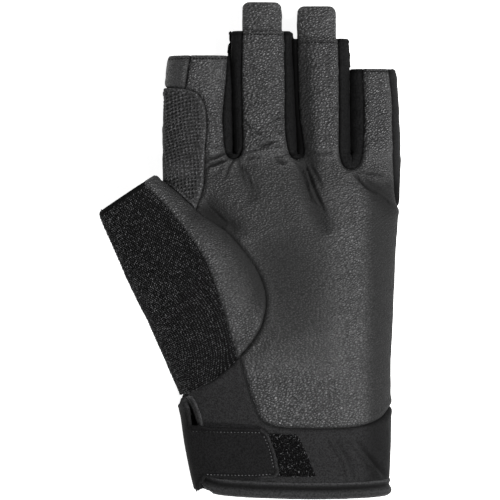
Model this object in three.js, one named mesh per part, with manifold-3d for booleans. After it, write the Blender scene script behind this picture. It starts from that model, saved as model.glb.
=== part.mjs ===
// A fingerless climbing glove for the left hand, lying on its back with the palm up.
// It is sewn from panels: a leather palm that runs up the finger fronts, dark stretch gussets
// between the fingers, a padded patch on the index finger, a terry and leather thumb, and a
// cuff with an edge binding, a slit on the thumb side and a hook-and-loop strap over the slit.
//
// Millimetres. +X to the little finger, +Y to the fingertips, +Z up out of the palm. The
// origin is on the surface that the glove lies on, under the centre of its outline.
//
// The hand's form is a set of tubes, each lofted through the rows of a short table. The same
// tubes, made smaller by the wall, are the hollow, and made larger they carry what is sewn on.
// The walls are then cut along the seams, and the panels fall apart.

import * as THREE from 'three';
import { mergeVertices } from 'three/addons/utils/BufferGeometryUtils.js';
import Module from 'manifold-3d';

const wasm = await Module();
wasm.setup();

// Walls, seams and the pieces sewn on.
const WALL = 1.3;
const SEAM_GAP = 0.3;
const PATCH_RISE = 0.6;
const PILE_THICK = 0.6;
const STRAP_THICK = 1.7;
const STRAP_CLEAR = 1.2;
const STRAP_LOW = 2.4;
const TAB_THICK = 1.8;
const BINDING_RISE = 0.7;
const BINDING_HEIGHT = 6.6;
const BINDING_SIDE = 2.2;

// Sections of the tubes.
const ROUNDNESS = 2.4;
const WIDEST_AT = 0.45;
const PRESSED_FLAT = 1.6;
const HAND_SIDES = 36;
const FINGER_SIDES = 22;
const THUMB_SIDES = 24;
const HAND_STATION = 11;
const FINGER_STATION = 20;
const THUMB_STATION = 10;

// Levels along the glove and above the floor.
const WEB_Y = 39.6;
const SIDE_SEAM_Z = 4.6;
const SLIT_LOW = 9.5;
const SKY = 60;
const FAR = 180;
const FINGER_GAP = 0.6;
const WELD = 0.01;

// The hand from the wrist to the finger roots.
const HAND = [
  { y: -112, left: -17.5, right: 57.0, top: 19.5, bottom: -PRESSED_FLAT },
  { y: -98, left: -21.5, right: 58.4, top: 20.5, bottom: -PRESSED_FLAT },
  { y: -84, left: -24.4, right: 59.4, top: 21.5, bottom: -PRESSED_FLAT },
  { y: -68, left: -26.8, right: 59.5, top: 22.5, bottom: -PRESSED_FLAT },
  { y: -50, left: -29.2, right: 58.9, top: 24.5, bottom: -PRESSED_FLAT },
  { y: -25, left: -31.5, right: 59.8, top: 26.5, bottom: -PRESSED_FLAT },
  { y: 0, left: -33.5, right: 60.9, top: 25.5, bottom: -PRESSED_FLAT },
  { y: 20, left: -35.2, right: 62.2, top: 22.5, bottom: -PRESSED_FLAT },
  { y: 33, left: -35.6, right: 62.7, top: 19.5, bottom: -PRESSED_FLAT },
  { y: WEB_Y, left: -35.6, right: 62.8, top: 17.5, bottom: -PRESSED_FLAT },
];

// Each finger from inside the palm to past its opening.
const FINGERS = {
  index: [
    { y: 8, left: -28, right: -8, top: 13.5, bottom: 5 },
    { y: 38, left: -35.6, right: -6.7, top: 18.2, bottom: -PRESSED_FLAT },
    { y: 60, left: -35.6, right: -7.3, top: 17.0, bottom: -PRESSED_FLAT },
    { y: 77, left: -34.8, right: -8.0, top: 16.2, bottom: -PRESSED_FLAT },
    { y: 94, left: -32.4, right: -8.6, top: 15.0, bottom: -PRESSED_FLAT },
  ],
  middle: [
    { y: 8, left: -3, right: 18, top: 15, bottom: 5 },
    { y: 38, left: -7.3, right: 20.2, top: 18.8, bottom: -PRESSED_FLAT },
    { y: 60, left: -7.9, right: 19.0, top: 17.4, bottom: -PRESSED_FLAT },
    { y: 112, left: -9.8, right: 16.7, top: 15.0, bottom: -PRESSED_FLAT },
  ],
  ring: [
    { y: 8, left: 22, right: 40, top: 15, bottom: 5 },
    { y: 38, left: 19.4, right: 42.2, top: 18.4, bottom: -PRESSED_FLAT },
    { y: 60, left: 18.3, right: 42.1, top: 17.0, bottom: -PRESSED_FLAT },
    { y: 112, left: 15.9, right: 41.8, top: 14.6, bottom: -PRESSED_FLAT },
  ],
  little: [
    { y: 8, left: 42.5, right: 55, top: 11.5, bottom: 5 },
    { y: 38, left: 41.4, right: 62.8, top: 16.4, bottom: -PRESSED_FLAT },
    { y: 54, left: 41.4, right: 62.8, top: 15.4, bottom: -PRESSED_FLAT },
    { y: 86, left: 41.2, right: 60.8, top: 13.6, bottom: -PRESSED_FLAT },
  ],
};

// Where each finger's tube is cut off.
const OPENINGS = [
  { left: -48, right: -8.0, y: 81.6 },
  { left: -8.0, right: 17.3, y: 91.9 },
  { left: 17.3, right: 41.6, y: 88.7 },
  { left: 41.6, right: 74, y: 76.0 },
];

// The wrist's edge, from past one side of the cuff to past the other.
const WRIST_EDGE = [[-40, -96], [-24, -99.6], [-14, -102.4], [-4, -103.3], [8, -103.8], [25, -104.2],
  [42, -104], [56, -103.3], [72, -101]];

// The slits between the fingers, from the web to past the tips.
const FINGER_SLITS = [
  { rootX: -7.0, rootY: 39.6, tipX: -8.8 },
  { rootX: 19.7, rootY: 39.6, tipX: 16.0 },
  { rootX: 41.8, rootY: 36.2, tipX: 41.5 },
];

// The thumb, in its own frame: y runs from its root, below 0, to its opening at 0.
const THUMB_OPENING = new THREE.Vector3(-51.3, 23.75, 0);
const THUMB_LEAN = 0.589;
const THUMB_FRAME = new THREE.Matrix4().makeRotationZ(THUMB_LEAN).setPosition(THUMB_OPENING);
const THUMB_CUT_Y = -22.6;
const THUMB_SEAM_Z = 13;
const THUMB_FLANK_Y = -27;
const THUMB_REACH = 30;
const THUMB_TIP_REACH = 17;
const THUMB = [
  { y: -86, left: -28.6, right: -9, top: 19, bottom: 5 },
  { y: -76, left: -27.0, right: 13, top: 24, bottom: 3 },
  { y: -62, left: -24.4, right: 28, top: 28, bottom: 2.5 },
  { y: -48, left: -22.0, right: 32, top: 29, bottom: 3 },
  { y: -34, left: -20.1, right: 28, top: 28, bottom: 5 },
  { y: -20, left: -17.7, right: 19.8, top: 26.5, bottom: 7 },
  { y: -10, left: -16.0, right: 16.2, top: 25.5, bottom: 8.2 },
  { y: 12, left: -12.4, right: 12, top: 24.5, bottom: 9.6 },
];

// Hollows and creases of the palm: from one point to another, how deep and how wide.
const FOLDS = [
  { fromX: 20, fromY: 37, toX: 32, toY: 6, depth: 2.4, width: 4.5 },
  { fromX: -6, fromY: 37, toX: 2, toY: 20, depth: 1.2, width: 3.5 },
  { fromX: 42, fromY: 33, toX: 60, toY: 14, depth: 1.8, width: 3.5 },
  { fromX: 14, fromY: -6, toX: 22, toY: -36, depth: 2.2, width: 15 },
];

// Seams on the palm side, as points of a smooth curve.
const SEAMS = {
  indexRight: [[-9.5, 110], [-9.7, 81], [-10.8, 66], [-11.6, 56], [-10.6, 46], [-9.0, 39.5], [-7, 36.4]],
  middleLeft: [[-3.0, 110], [-3.1, 92], [-3.5, 74], [-3.1, 58], [-2.9, 46], [-4.6, 39.6], [-7, 36.4]],
  middleRight: [[13.8, 110], [14.3, 92], [14.5, 67], [14.6, 52], [15.8, 43], [17.4, 39.4], [19.9, 36.6]],
  ringLeft: [[20.0, 110], [20.1, 89], [20.2, 72], [21.0, 56], [22.1, 45], [21.9, 40], [19.9, 36.6]],
  ringRight: [[36.4, 110], [36.8, 89], [37.2, 68], [37.2, 52], [37.2, 43], [39.2, 36.4], [41.9, 33]],
  littleLeft: [[46.8, 92], [47.2, 76], [47.8, 62], [47.5, 50], [46.6, 42], [44.8, 36.2], [41.9, 33]],
  littleRight: [[58.0, 92], [58.2, 76], [59.6, 64], [59.8, 48], [60.2, 32], [61.3, 20], [66, 9]],
  indexSide: [[-24.5, 92], [-25, 81.5], [-26, 75], [-27.1, 67.6]],
  patchTop: [[-48, 69], [-35, 68.2], [-27.1, 67.6], [-22, 65.7]],
  patchRight: [[-22, 65.7], [-19.1, 60.7], [-18.3, 52], [-18.9, 42], [-19.2, 33], [-20, 25], [-26, 8]],
  heel: [[-6.5, -42], [-4.4, -44.5], [-2, -53], [1, -63], [4.5, -70.5], [11, -73.6], [22, -74.3],
    [34, -74.5], [46, -73.5], [54.5, -70.5], [59, -65.8], [66, -58]],
  thumbRoot: [[-21.8, 14.9], [-10.6, 8.6], [-0.8, -2.7], [4.6, -12], [6.6, -21.5], [4, -33],
    [-4.4, -44.3], [-12.5, -52], [-20.8, -57.6], [-27.8, -60.6], [-36, -62]],
  thumbPile: [[-46.5, 32], [-43.9, 27.1], [-37, 20.2], [-27.1, 8.2], [-18.7, -4.6], [-12.4, -21],
    [-7.4, -38], [-4.4, -49]],
};

// The slit in the cuff on the thumb side: the edge of the front and the edge of the back.
const SLIT_FRONT = [[-29.4, -59.8], [-25.6, -63.6], [-23.4, -68.6], [-22.0, -74], [-21.4, -84],
  [-20.8, -95], [-19.4, -99.2], [-15.3, -102.2], [-13.5, -106]];
const SLIT_BACK = [[-20, -106], [-22, -100], [-23.2, -95], [-24.2, -84], [-25, -74], [-26.6, -67]];

// What is sewn on, as outlines on the palm side.
const STRAP_OUTLINE = [
  [-42, -60.5], [-29, -62.8], [-26.5, -66], [-25.2, -73.4], [4.6, -74.3], [7.6, -76.6],
  [10.4, -84], [12.2, -92.6], [11.2, -95], [2, -95.7], [-19, -95.2], [-20.6, -100.8], [-42, -101],
];
const PILE_OUTLINE = [[-12, -76.6], [20.8, -76.6], [23.6, -83], [26.4, -94.6], [-12, -94.6]];
const TABS = [
  { name: 'pull_tab_middle', finger: 'middle', left: -3.4, right: 13.5, from: 85, to: 104.1 },
  { name: 'pull_tab_ring', finger: 'ring', left: 19.5, right: 36.2, from: 82, to: 102.4 },
];

const LEATHER = new THREE.MeshStandardMaterial({ color: 0x3a3a3b, roughness: 0.55 });
const STRETCH = new THREE.MeshStandardMaterial({ color: 0x1b1b1c, roughness: 0.85 });
const TERRY = new THREE.MeshStandardMaterial({ color: 0x121213, roughness: 1 });
const SOFTSHELL = new THREE.MeshStandardMaterial({ color: 0x222223, roughness: 0.8 });
const PILE = new THREE.MeshStandardMaterial({ color: 0x0d0d0e, roughness: 1 });

// One column of a table at a place between its rows: a cubic through the rows.
function valueAt(rows, key, y) {
  const last = rows.length - 1;
  const at = THREE.MathUtils.clamp(y, rows[0].y, rows[last].y);
  let i = 0;
  while (i < last - 1 && at > rows[i + 1].y) i += 1;
  const slope = (j) => {
    const before = rows[Math.max(j - 1, 0)];
    const after = rows[Math.min(j + 1, last)];
    return (after[key] - before[key]) / (after.y - before.y);
  };
  const span = rows[i + 1].y - rows[i].y;
  const t = (at - rows[i].y) / span;
  const rise = t * t * (3 - 2 * t);
  return rows[i][key] + (rows[i + 1][key] - rows[i][key]) * rise
    + span * t * (1 - t) * (slope(i) * (1 - t) - slope(i + 1) * t);
}

// How far the folds pull the palm down at a point: each fades out towards its two ends.
function foldDepth(x, y) {
  return FOLDS.reduce((sum, fold) => {
    const run = new THREE.Vector2(fold.toX - fold.fromX, fold.toY - fold.fromY);
    const from = new THREE.Vector2(x - fold.fromX, y - fold.fromY);
    const along = from.dot(run) / run.lengthSq();
    const aside = Math.abs(from.cross(run)) / run.length() / fold.width;
    const fade = Math.max(0, 1 - (2 * along - 1) ** 2);
    return sum + fold.depth * fade * Math.exp(-aside * aside);
  }, 0);
}

// A closed section at y: a superellipse that is widest below its middle. What reaches the
// floor is pressed flat on it, so the bottom of a wall's inside lies a wall above the floor.
function section(rows, y, grow, sides, folded) {
  const [left, right, top, bottom] = ['left', 'right', 'top', 'bottom']
    .map((key) => valueAt(rows, key, y));
  const widestZ = bottom + (top - bottom) * WIDEST_AT;
  const bend = (value) => Math.sign(value) * Math.abs(value) ** (2 / ROUNDNESS);
  return Array.from({ length: sides }, (_, i) => {
    const angle = (2 * Math.PI * (i + 0.5)) / sides;
    const up = bend(Math.sin(angle));
    const x = (left + right) / 2 + ((right - left) / 2 + grow) * bend(Math.cos(angle));
    let z = widestZ + ((up > 0 ? top - widestZ : widestZ - bottom) + grow) * up;
    if (folded) z -= foldDepth(x, y) * Math.max(up, 0);
    return new THREE.Vector3(x, y, Math.max(z, 0, -grow));
  });
}

// Turns an indexed, closed geometry into a solid.
function solidOf(vertices, triangles) {
  return new wasm.Manifold(new wasm.Mesh({
    numProp: 3,
    vertProperties: new Float32Array(vertices),
    triVerts: new Uint32Array(triangles),
  }));
}

// A tube through closed sections, each with as many points, closed flat at both ends.
function loft(sections) {
  const sides = sections[0].length;
  const vertices = sections.flat().flatMap((p) => p.toArray());
  const triangles = [];
  for (let row = 0; row < sections.length - 1; row += 1) {
    for (let i = 0; i < sides; i += 1) {
      const a = row * sides + i;
      const b = row * sides + ((i + 1) % sides);
      triangles.push(a, a + sides, b, b, a + sides, b + sides);
    }
  }
  [0, sections.length - 1].forEach((row) => {
    const middle = new THREE.Vector3();
    sections[row].forEach((p) => middle.addScaledVector(p, 1 / sides));
    const centre = vertices.push(...middle.toArray()) / 3 - 1;
    for (let i = 0; i < sides; i += 1) {
      const [a, b] = [row * sides + i, row * sides + ((i + 1) % sides)];
      triangles.push(...(row ? [centre, b, a] : [centre, a, b]));
    }
  });
  return solidOf(vertices, triangles);
}

// Places along a table from its first row to its last, about so far apart.
function stations(rows, spacing) {
  const start = rows[0].y;
  const length = rows[rows.length - 1].y - start;
  const count = Math.round(length / spacing);
  return Array.from({ length: count + 1 }, (_, i) => start + (length * i) / count);
}

function tube(rows, grow, sides, spacing, folded = false) {
  return loft(stations(rows, spacing).map((y) => section(rows, y, grow, sides, folded)));
}

// An upright prism over a plan outline, between two levels.
function prism(outline, low = -SKY, high = SKY) {
  const shape = new THREE.Shape(outline.map(([x, y]) => new THREE.Vector2(x, y)));
  const geometry = new THREE.ExtrudeGeometry(shape, { depth: high - low, bevelEnabled: false });
  geometry.translate(0, 0, low);
  geometry.deleteAttribute('normal');
  geometry.deleteAttribute('uv');
  const merged = mergeVertices(geometry, 1e-4);
  return solidOf(merged.getAttribute('position').array, merged.index.array);
}

function box(left, right, front, back, low = -SKY, high = SKY) {
  return prism([[left, front], [right, front], [right, back], [left, back]], low, high);
}

// Points of a seam's smooth curve.
function curve(points, steps = 2) {
  const spline = new THREE.SplineCurve(points.map(([x, y]) => new THREE.Vector2(x, y)));
  return spline.getPoints((points.length - 1) * steps).map((p) => [p.x, p.y]);
}

// A narrow upright ribbon along a curve, which parts two panels where they are sewn together.
function ribbon(line, width, low, high = SKY) {
  const sides = line.map(([x, y], i) => {
    const [ax, ay] = line[Math.max(i - 1, 0)];
    const [bx, by] = line[Math.min(i + 1, line.length - 1)];
    const across = new THREE.Vector2(ay - by, bx - ax).setLength(width / 2);
    return [[x + across.x, y + across.y], [x - across.x, y - across.y]];
  });
  return prism([...sides.map((s) => s[1]), ...sides.map((s) => s[0]).reverse()], low, high);
}

const join = (...solids) => solids.flat().reduce((sum, solid) => sum.add(solid));

// The hand and its four fingers, everything larger by grow, with slits between the fingers.
function handForm(grow) {
  const fingers = Object.values(FINGERS).map((rows) => tube(rows, grow, FINGER_SIDES, FINGER_STATION));
  const slits = FINGER_SLITS.map(({ rootX, rootY, tipX }) => ribbon(
    [[rootX, rootY + grow], [tipX, 120]],
    Math.max(FINGER_GAP - 2 * grow, SEAM_GAP),
    -SKY,
  ));
  return join(tube(HAND, grow, HAND_SIDES, HAND_STATION, true), fingers).subtract(join(slits));
}

function thumbForm(grow) {
  const sections = stations(THUMB, THUMB_STATION).map((y) => section(THUMB, y, grow, THUMB_SIDES));
  return loft(sections.map((points) => points.map((p) => p.applyMatrix4(THUMB_FRAME))));
}

// A box in the thumb's own frame, from one place along it to another.
function thumbSlice(from, to, right = THUMB_REACH) {
  const corners = [[-THUMB_REACH, from], [right, from], [right, to], [-THUMB_REACH, to]];
  return prism(corners.map(([x, y]) => {
    const corner = new THREE.Vector3(x, y, 0).applyMatrix4(THUMB_FRAME);
    return [corner.x, corner.y];
  }));
}

// What lies on the arm's side of a line that runs so far up from the wrist's edge.
const wristEdge = curve(WRIST_EDGE);
const belowWrist = (up) => prism([...wristEdge.map(([x, y]) => [x, y + up]), [72, -FAR], [-40, -FAR]]);

// What lies past the ends of the wrist, the fingers and the thumb.
const beyond = join(
  OPENINGS.map(({ left, right, y }) => box(left, right, y, FAR)),
  belowWrist(0),
  thumbSlice(0, FAR, THUMB_TIP_REACH),
);

const outside = handForm(0);
const hollow = handForm(-WALL);
const thumbOutside = thumbForm(0);
const thumbHollow = thumbForm(-WALL);

// What belongs to the thumb: inside the seam round its root, and its tube past the crotch.
const rootSeam = curve(SEAMS.thumbRoot);
const pastCrotch = thumbSlice(THUMB_CUT_Y, FAR);
const thumbZone = (clear) => join(
  prism([...rootSeam, [-FAR, -62], [-FAR, 60]], SIDE_SEAM_Z - clear).subtract(pastCrotch),
  thumbForm(clear).intersect(thumbSlice(THUMB_CUT_Y - 1, FAR)),
);

// The slit, open through the wall of the cuff, and the binding's room along its front edge.
const slitFront = curve(SLIT_FRONT);
const slit = prism([...slitFront, ...curve(SLIT_BACK)], SLIT_LOW);
const bindingZone = (clear) => join(
  belowWrist(BINDING_HEIGHT + clear),
  ribbon(slitFront.map(([x, y]) => [x + BINDING_SIDE / 2, y]), BINDING_SIDE + 2 * clear, SLIT_LOW),
);

// All that parts the panels: the palm's seams, the root of the thumb, and the seam along both
// sides, which the back passes at the little finger and at the slit.
const seamCut = (name) => ribbon(curve(SEAMS[name]), SEAM_GAP, SIDE_SEAM_Z - 1);
const littleStrip = prism([...curve(SEAMS.littleRight), [FAR, 9], [FAR, 92]]);
const sideSeam = box(-FAR, FAR, -FAR, FAR, SIDE_SEAM_Z - SEAM_GAP / 2, SIDE_SEAM_Z + SEAM_GAP / 2)
  .subtract(join(littleStrip, box(-FAR, 0, -FAR, -61)));
const seamCuts = join(
  ['indexRight', 'middleLeft', 'middleRight', 'ringLeft', 'ringRight', 'littleLeft'].map(seamCut),
  ['littleRight', 'indexSide', 'patchTop', 'patchRight', 'heel'].map(seamCut),
  ribbon(rootSeam, SEAM_GAP, SIDE_SEAM_Z - 1).subtract(pastCrotch),
  sideSeam,
);

// The walls, apart from what replaces them at the edges.
const handWall = outside.subtract(join(hollow, thumbHollow, beyond, thumbZone(SEAM_GAP)))
  .subtract(join(seamCuts, slit, bindingZone(SEAM_GAP)));
const pileLine = curve(SEAMS.thumbPile);
const thumbFlank = box(-FAR, FAR, -FAR, FAR, THUMB_SEAM_Z, THUMB_SEAM_Z + SEAM_GAP)
  .intersect(prism([...pileLine, [FAR, -49], [FAR, 32]]))
  .intersect(thumbSlice(THUMB_FLANK_Y, FAR));
const thumbWall = join(outside, thumbOutside)
  .subtract(join(hollow, thumbHollow, beyond, thumbFlank))
  .subtract(ribbon(pileLine, SEAM_GAP, THUMB_SEAM_Z))
  .intersect(thumbZone(0))
  .subtract(join(ribbon(rootSeam, SEAM_GAP, -SKY).subtract(pastCrotch), sideSeam));

const group = new THREE.Group();

// Corners that a cut leaves closer together than WELD become one.
function addMesh(name, solid, material) {
  const mesh = solid.getMesh();
  const geometry = new THREE.BufferGeometry();
  geometry.setAttribute('position', new THREE.BufferAttribute(mesh.vertProperties, 3));
  geometry.setIndex(new THREE.BufferAttribute(mesh.triVerts, 1));
  const welded = mergeVertices(geometry, WELD);
  welded.computeVertexNormals();
  const made = new THREE.Mesh(welded, material);
  made.name = name;
  group.add(made);
}

// The piece of a parted wall that is found under or over a point of the plan.
function pieceAt(pieces, x, y, low, high) {
  const probe = box(x - 0.5, x + 0.5, y - 0.5, y + 0.5, low, high);
  return pieces.find((piece) => piece.intersect(probe).volume() > 0.05);
}

const PANELS = [
  { name: 'palm_leather', x: 30, y: -20, material: LEATHER },
  { name: 'index_side', x: -30, y: 75, material: LEATHER },
  { name: 'gusset_index_middle', x: -9.4, y: 60, material: STRETCH },
  { name: 'gusset_middle_ring', x: 16.6, y: 60, material: STRETCH },
  { name: 'gusset_ring_little', x: 44.5, y: 60, material: STRETCH },
  { name: 'cuff_front', x: 20, y: -85, material: SOFTSHELL },
  { name: 'back_panel', x: 10, y: -20, low: -1, high: 2, material: SOFTSHELL },
];
const handPieces = handWall.decompose();
PANELS.forEach(({ name, x, y, low = SIDE_SEAM_Z + 1, high = SKY, material }) => {
  addMesh(name, pieceAt(handPieces, x, y, low, high), material);
});
const thumbPieces = thumbWall.decompose();
addMesh('thumb_leather', pieceAt(thumbPieces, -8, -15, SIDE_SEAM_Z + 1, SKY), LEATHER);
addMesh('thumb_terry', pieceAt(thumbPieces, -40, 0, SIDE_SEAM_Z + 1, SKY), TERRY);

// The patch stands in for the wall under it and rises above the leather round it.
const patchEdge = [...curve(SEAMS.patchTop), ...curve(SEAMS.patchRight).slice(1)];
addMesh('index_patch', handForm(PATCH_RISE).subtract(hollow)
  .intersect(prism([...patchEdge, [-60, 8]], SIDE_SEAM_Z + SEAM_GAP / 2))
  .subtract(join(ribbon(patchEdge, SEAM_GAP, 0), thumbZone(SEAM_GAP), thumbHollow)), LEATHER);

// The binding is folded over the wall's edge, so it stands proud of both its faces.
addMesh('cuff_binding', handForm(BINDING_RISE).subtract(join(handForm(-WALL - BINDING_RISE), beyond))
  .intersect(bindingZone(0)).subtract(join(slit, thumbZone(SEAM_GAP))), SOFTSHELL);

// The soft pile that the strap takes hold of, and the strap, sewn to the back on the thumb side.
const layer = (inner, thick) => handForm(inner + thick).subtract(handForm(inner));
addMesh('loop_patch', layer(SEAM_GAP, PILE_THICK)
  .intersect(prism(PILE_OUTLINE, SIDE_SEAM_Z)), PILE);
addMesh('closure_strap', layer(STRAP_CLEAR, STRAP_THICK)
  .intersect(prism(STRAP_OUTLINE, STRAP_LOW)), SOFTSHELL);

TABS.forEach(({ name, finger, left, right, from, to }) => {
  const inner = tube(FINGERS[finger], -WALL - SEAM_GAP - TAB_THICK, FINGER_SIDES, FINGER_STATION);
  const outer = tube(FINGERS[finger], -WALL - SEAM_GAP, FINGER_SIDES, FINGER_STATION);
  const round = 4;
  const outline = [[left, from], [right, from], [right, to - round], [right - round / 4, to - 1.2],
    [right - round, to], [left + round, to], [left + round / 4, to - 1.2], [left, to - round]];
  addMesh(name, outer.subtract(inner).intersect(prism(outline, 8)), LEATHER);
});

export default group;
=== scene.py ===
"""A fingerless climbing glove lying on its back, palm up, on a pale floor.

The hand's form is one field, blended from the same tables of sections as the frame. A fine
surface is drawn on it, cut along the seams into the sewn panels, creased and given its wall,
and the stitches, loops, strap and binding are laid on it. Lengths are millimetres up to the
mesh, which is in metres.
"""

import math

import bpy
import numpy as np
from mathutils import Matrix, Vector, kdtree


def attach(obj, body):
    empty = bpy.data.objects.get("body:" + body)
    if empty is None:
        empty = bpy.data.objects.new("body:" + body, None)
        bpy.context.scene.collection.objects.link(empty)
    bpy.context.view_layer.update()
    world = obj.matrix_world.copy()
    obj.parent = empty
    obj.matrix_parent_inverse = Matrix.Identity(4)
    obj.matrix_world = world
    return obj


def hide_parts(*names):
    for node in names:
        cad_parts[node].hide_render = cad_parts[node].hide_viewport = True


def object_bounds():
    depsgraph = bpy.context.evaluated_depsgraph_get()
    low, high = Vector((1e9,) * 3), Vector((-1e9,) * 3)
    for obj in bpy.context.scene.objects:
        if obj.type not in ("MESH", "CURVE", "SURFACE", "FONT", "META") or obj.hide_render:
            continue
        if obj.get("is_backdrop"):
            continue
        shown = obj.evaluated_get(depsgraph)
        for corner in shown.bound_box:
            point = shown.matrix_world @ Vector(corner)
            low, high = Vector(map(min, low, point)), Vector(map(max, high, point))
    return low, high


MM = 0.001

# The net's step, and the walls of the leather and of the gussets' thinner cloth.
FINE = 0.6
FINER = 0.5
WALL = 1.1
GUSSET_WALL = 0.9

# The tubes: how square their sections are, where they are widest, and how far down they would
# reach if the floor didn't press them flat.
ROUNDNESS = 2.4
WIDEST_AT = 0.45
FLAT = -1.6

# The web between the fingers, where the finger tubes start, the height of the seam along the
# sides and of the slit's low end, and a place that is beyond everything.
WEB_Y = 39.6
FINGERS_FROM = 8
SIDE_SEAM_Z = 4.6
SLIT_LOW = 9.5
FAR = 180.0
OUTSIDE = 40.0

# How widely the hand, the thumb and the slits are rounded where they meet, and how near to the
# thumb's form a point counts as part of it.
HAND_BLEND = 3
THUMB_BLEND = 4
SLIT_BLEND = 0.8
THUMB_NEAR = 2.5

# Sections of the tubes: place along the tube, left edge, right edge, top, bottom.
HAND = [
    (-112, -17.5, 57.0, 19.5, FLAT),
    (-98, -21.5, 58.4, 20.5, FLAT),
    (-84, -24.4, 59.4, 21.5, FLAT),
    (-68, -26.8, 59.5, 22.5, FLAT),
    (-50, -29.2, 58.9, 24.5, FLAT),
    (-25, -31.5, 59.8, 26.5, FLAT),
    (0, -33.5, 60.9, 25.5, FLAT),
    (20, -35.2, 62.2, 22.5, FLAT),
    (33, -35.6, 62.7, 19.5, FLAT),
    (WEB_Y, -35.6, 62.8, 17.5, FLAT),
]
INDEX = [
    (8, -28, -8, 13.5, 5),
    (38, -35.6, -6.7, 18.2, FLAT),
    (60, -35.6, -7.3, 17.0, FLAT),
    (77, -34.8, -8.0, 16.2, FLAT),
    (94, -32.4, -8.6, 15.0, FLAT),
]
MIDDLE = [
    (8, -3, 18, 15, 5),
    (38, -7.3, 20.2, 18.8, FLAT),
    (60, -7.9, 19.0, 17.4, FLAT),
    (112, -9.8, 16.7, 15.0, FLAT),
]
RING = [
    (8, 22, 40, 15, 5),
    (38, 19.4, 42.2, 18.4, FLAT),
    (60, 18.3, 42.1, 17.0, FLAT),
    (112, 15.9, 41.8, 14.6, FLAT),
]
LITTLE = [
    (8, 42.5, 55, 11.5, 5),
    (38, 41.4, 62.8, 16.4, FLAT),
    (54, 41.4, 62.8, 15.4, FLAT),
    (86, 41.2, 60.8, 13.6, FLAT),
]
THUMB = [
    (-86, -28.6, -9, 19, 5),
    (-76, -27.0, 13, 24, 3),
    (-62, -24.4, 28, 28, 2.5),
    (-48, -22.0, 32, 29, 3),
    (-34, -20.1, 28, 28, 5),
    (-20, -17.7, 19.8, 26.5, 7),
    (-10, -16.0, 16.2, 25.5, 8.2),
    (12, -12.4, 12, 24.5, 9.6),
]
THUMB_OPENING = (-51.3, 23.75)
THUMB_LEAN = 0.589

# Slits between the fingers: x and y of the root, x at y 120. They lean, so nothing shows
# through them from above.
SLITS = [(-7.0, 39.6, -8.8), (19.7, 39.6, 16.0), (41.8, 36.2, 41.3)]
SLIT_GAP = 0.9
SLIT_LEAN = 0.11
SLIT_FLOOR = 5.6
FINGER_ENDS = [81.6, 91.9, 88.7, 76.0]
WRIST_EDGE = [(-40, -96), (-24, -99.6), (-14, -102.4), (-4, -103.3), (8, -103.8), (25, -104.2),
              (42, -104), (56, -103.3), (72, -101)]

# Seams on the palm side, as points of smooth curves.
INDEX_RIGHT = [(-9.5, 110), (-9.7, 81), (-10.8, 66), (-11.6, 56), (-11.0, 46), (-10.5, 41.8),
               (-9.2, 39.0), (-7, 37.9)]
MIDDLE_LEFT = [(-3.0, 110), (-3.1, 92), (-3.5, 74), (-3.1, 58), (-2.9, 46), (-3.3, 41.8),
               (-4.6, 39.0), (-7, 37.9)]
MIDDLE_RIGHT = [(13.8, 110), (14.3, 92), (14.5, 67), (14.6, 52), (15.3, 45), (16.2, 41),
                (17.7, 38.6), (19.9, 37.7)]
RING_LEFT = [(20.0, 110), (20.1, 89), (20.2, 72), (21.0, 56), (22.4, 46), (22.8, 41.6),
             (21.9, 38.8), (19.9, 37.7)]
RING_RIGHT = [(36.4, 110), (36.8, 89), (37.2, 68), (37.2, 52), (37.1, 43), (37.9, 37.8),
              (39.5, 34.6), (41.9, 33.4)]
LITTLE_LEFT = [(46.8, 92), (47.2, 76), (47.8, 62), (47.8, 50), (47.4, 42), (46.3, 36.8),
               (44.4, 34.2), (41.9, 33.4)]
GUSSETS = [(INDEX_RIGHT, MIDDLE_LEFT), (MIDDLE_RIGHT, RING_LEFT), (RING_RIGHT, LITTLE_LEFT)]
LITTLE_RIGHT = [(58.0, 92), (58.2, 76), (59.6, 64), (59.8, 48), (60.2, 32), (61.3, 20), (66, 9)]
INDEX_SIDE = [(-24.5, 92), (-25, 81.5), (-26, 75), (-27.1, 67.6)]
PATCH_TOP = [(-48, 69), (-35, 68.2), (-27.1, 67.6), (-22, 65.7)]
PATCH_RIGHT = [(-22, 65.7), (-19.1, 60.7), (-18.3, 52), (-18.9, 42), (-19.2, 33), (-20, 25), (-26, 8)]
HEEL = [(-6.5, -42), (-4.4, -44.5), (-2, -53), (1, -63), (4.5, -70.5), (11, -73.6), (22, -74.3),
        (34, -74.5), (46, -73.5), (54.5, -70.5), (59, -65.8), (66, -58)]
SLIT_FRONT = [(-29.4, -59.8), (-25.6, -63.6), (-23.4, -68.6), (-22.0, -74), (-21.4, -84),
              (-20.8, -95), (-19.4, -99.2), (-15.3, -102.2), (-13.5, -106)]
SLIT_BACK = [(-20, -106), (-22, -100), (-23.2, -95), (-24.2, -84), (-25, -74), (-26.6, -67)]
THUMB_ROOT = [(-21.8, 14.9), (-10.6, 8.6), (-0.8, -2.7), (4.6, -12), (6.6, -21.5), (4, -33),
              (-4.4, -44.3), (-12.5, -52), (-20.8, -57.6), (-27.8, -60.6), (-36, -62)]
THUMB_PILE = [(-46.5, 32), (-43.9, 27.1), (-37, 20.2), (-27.1, 8.2), (-18.7, -4.6), (-12.4, -21),
              (-7.4, -38), (-4.4, -49)]

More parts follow.
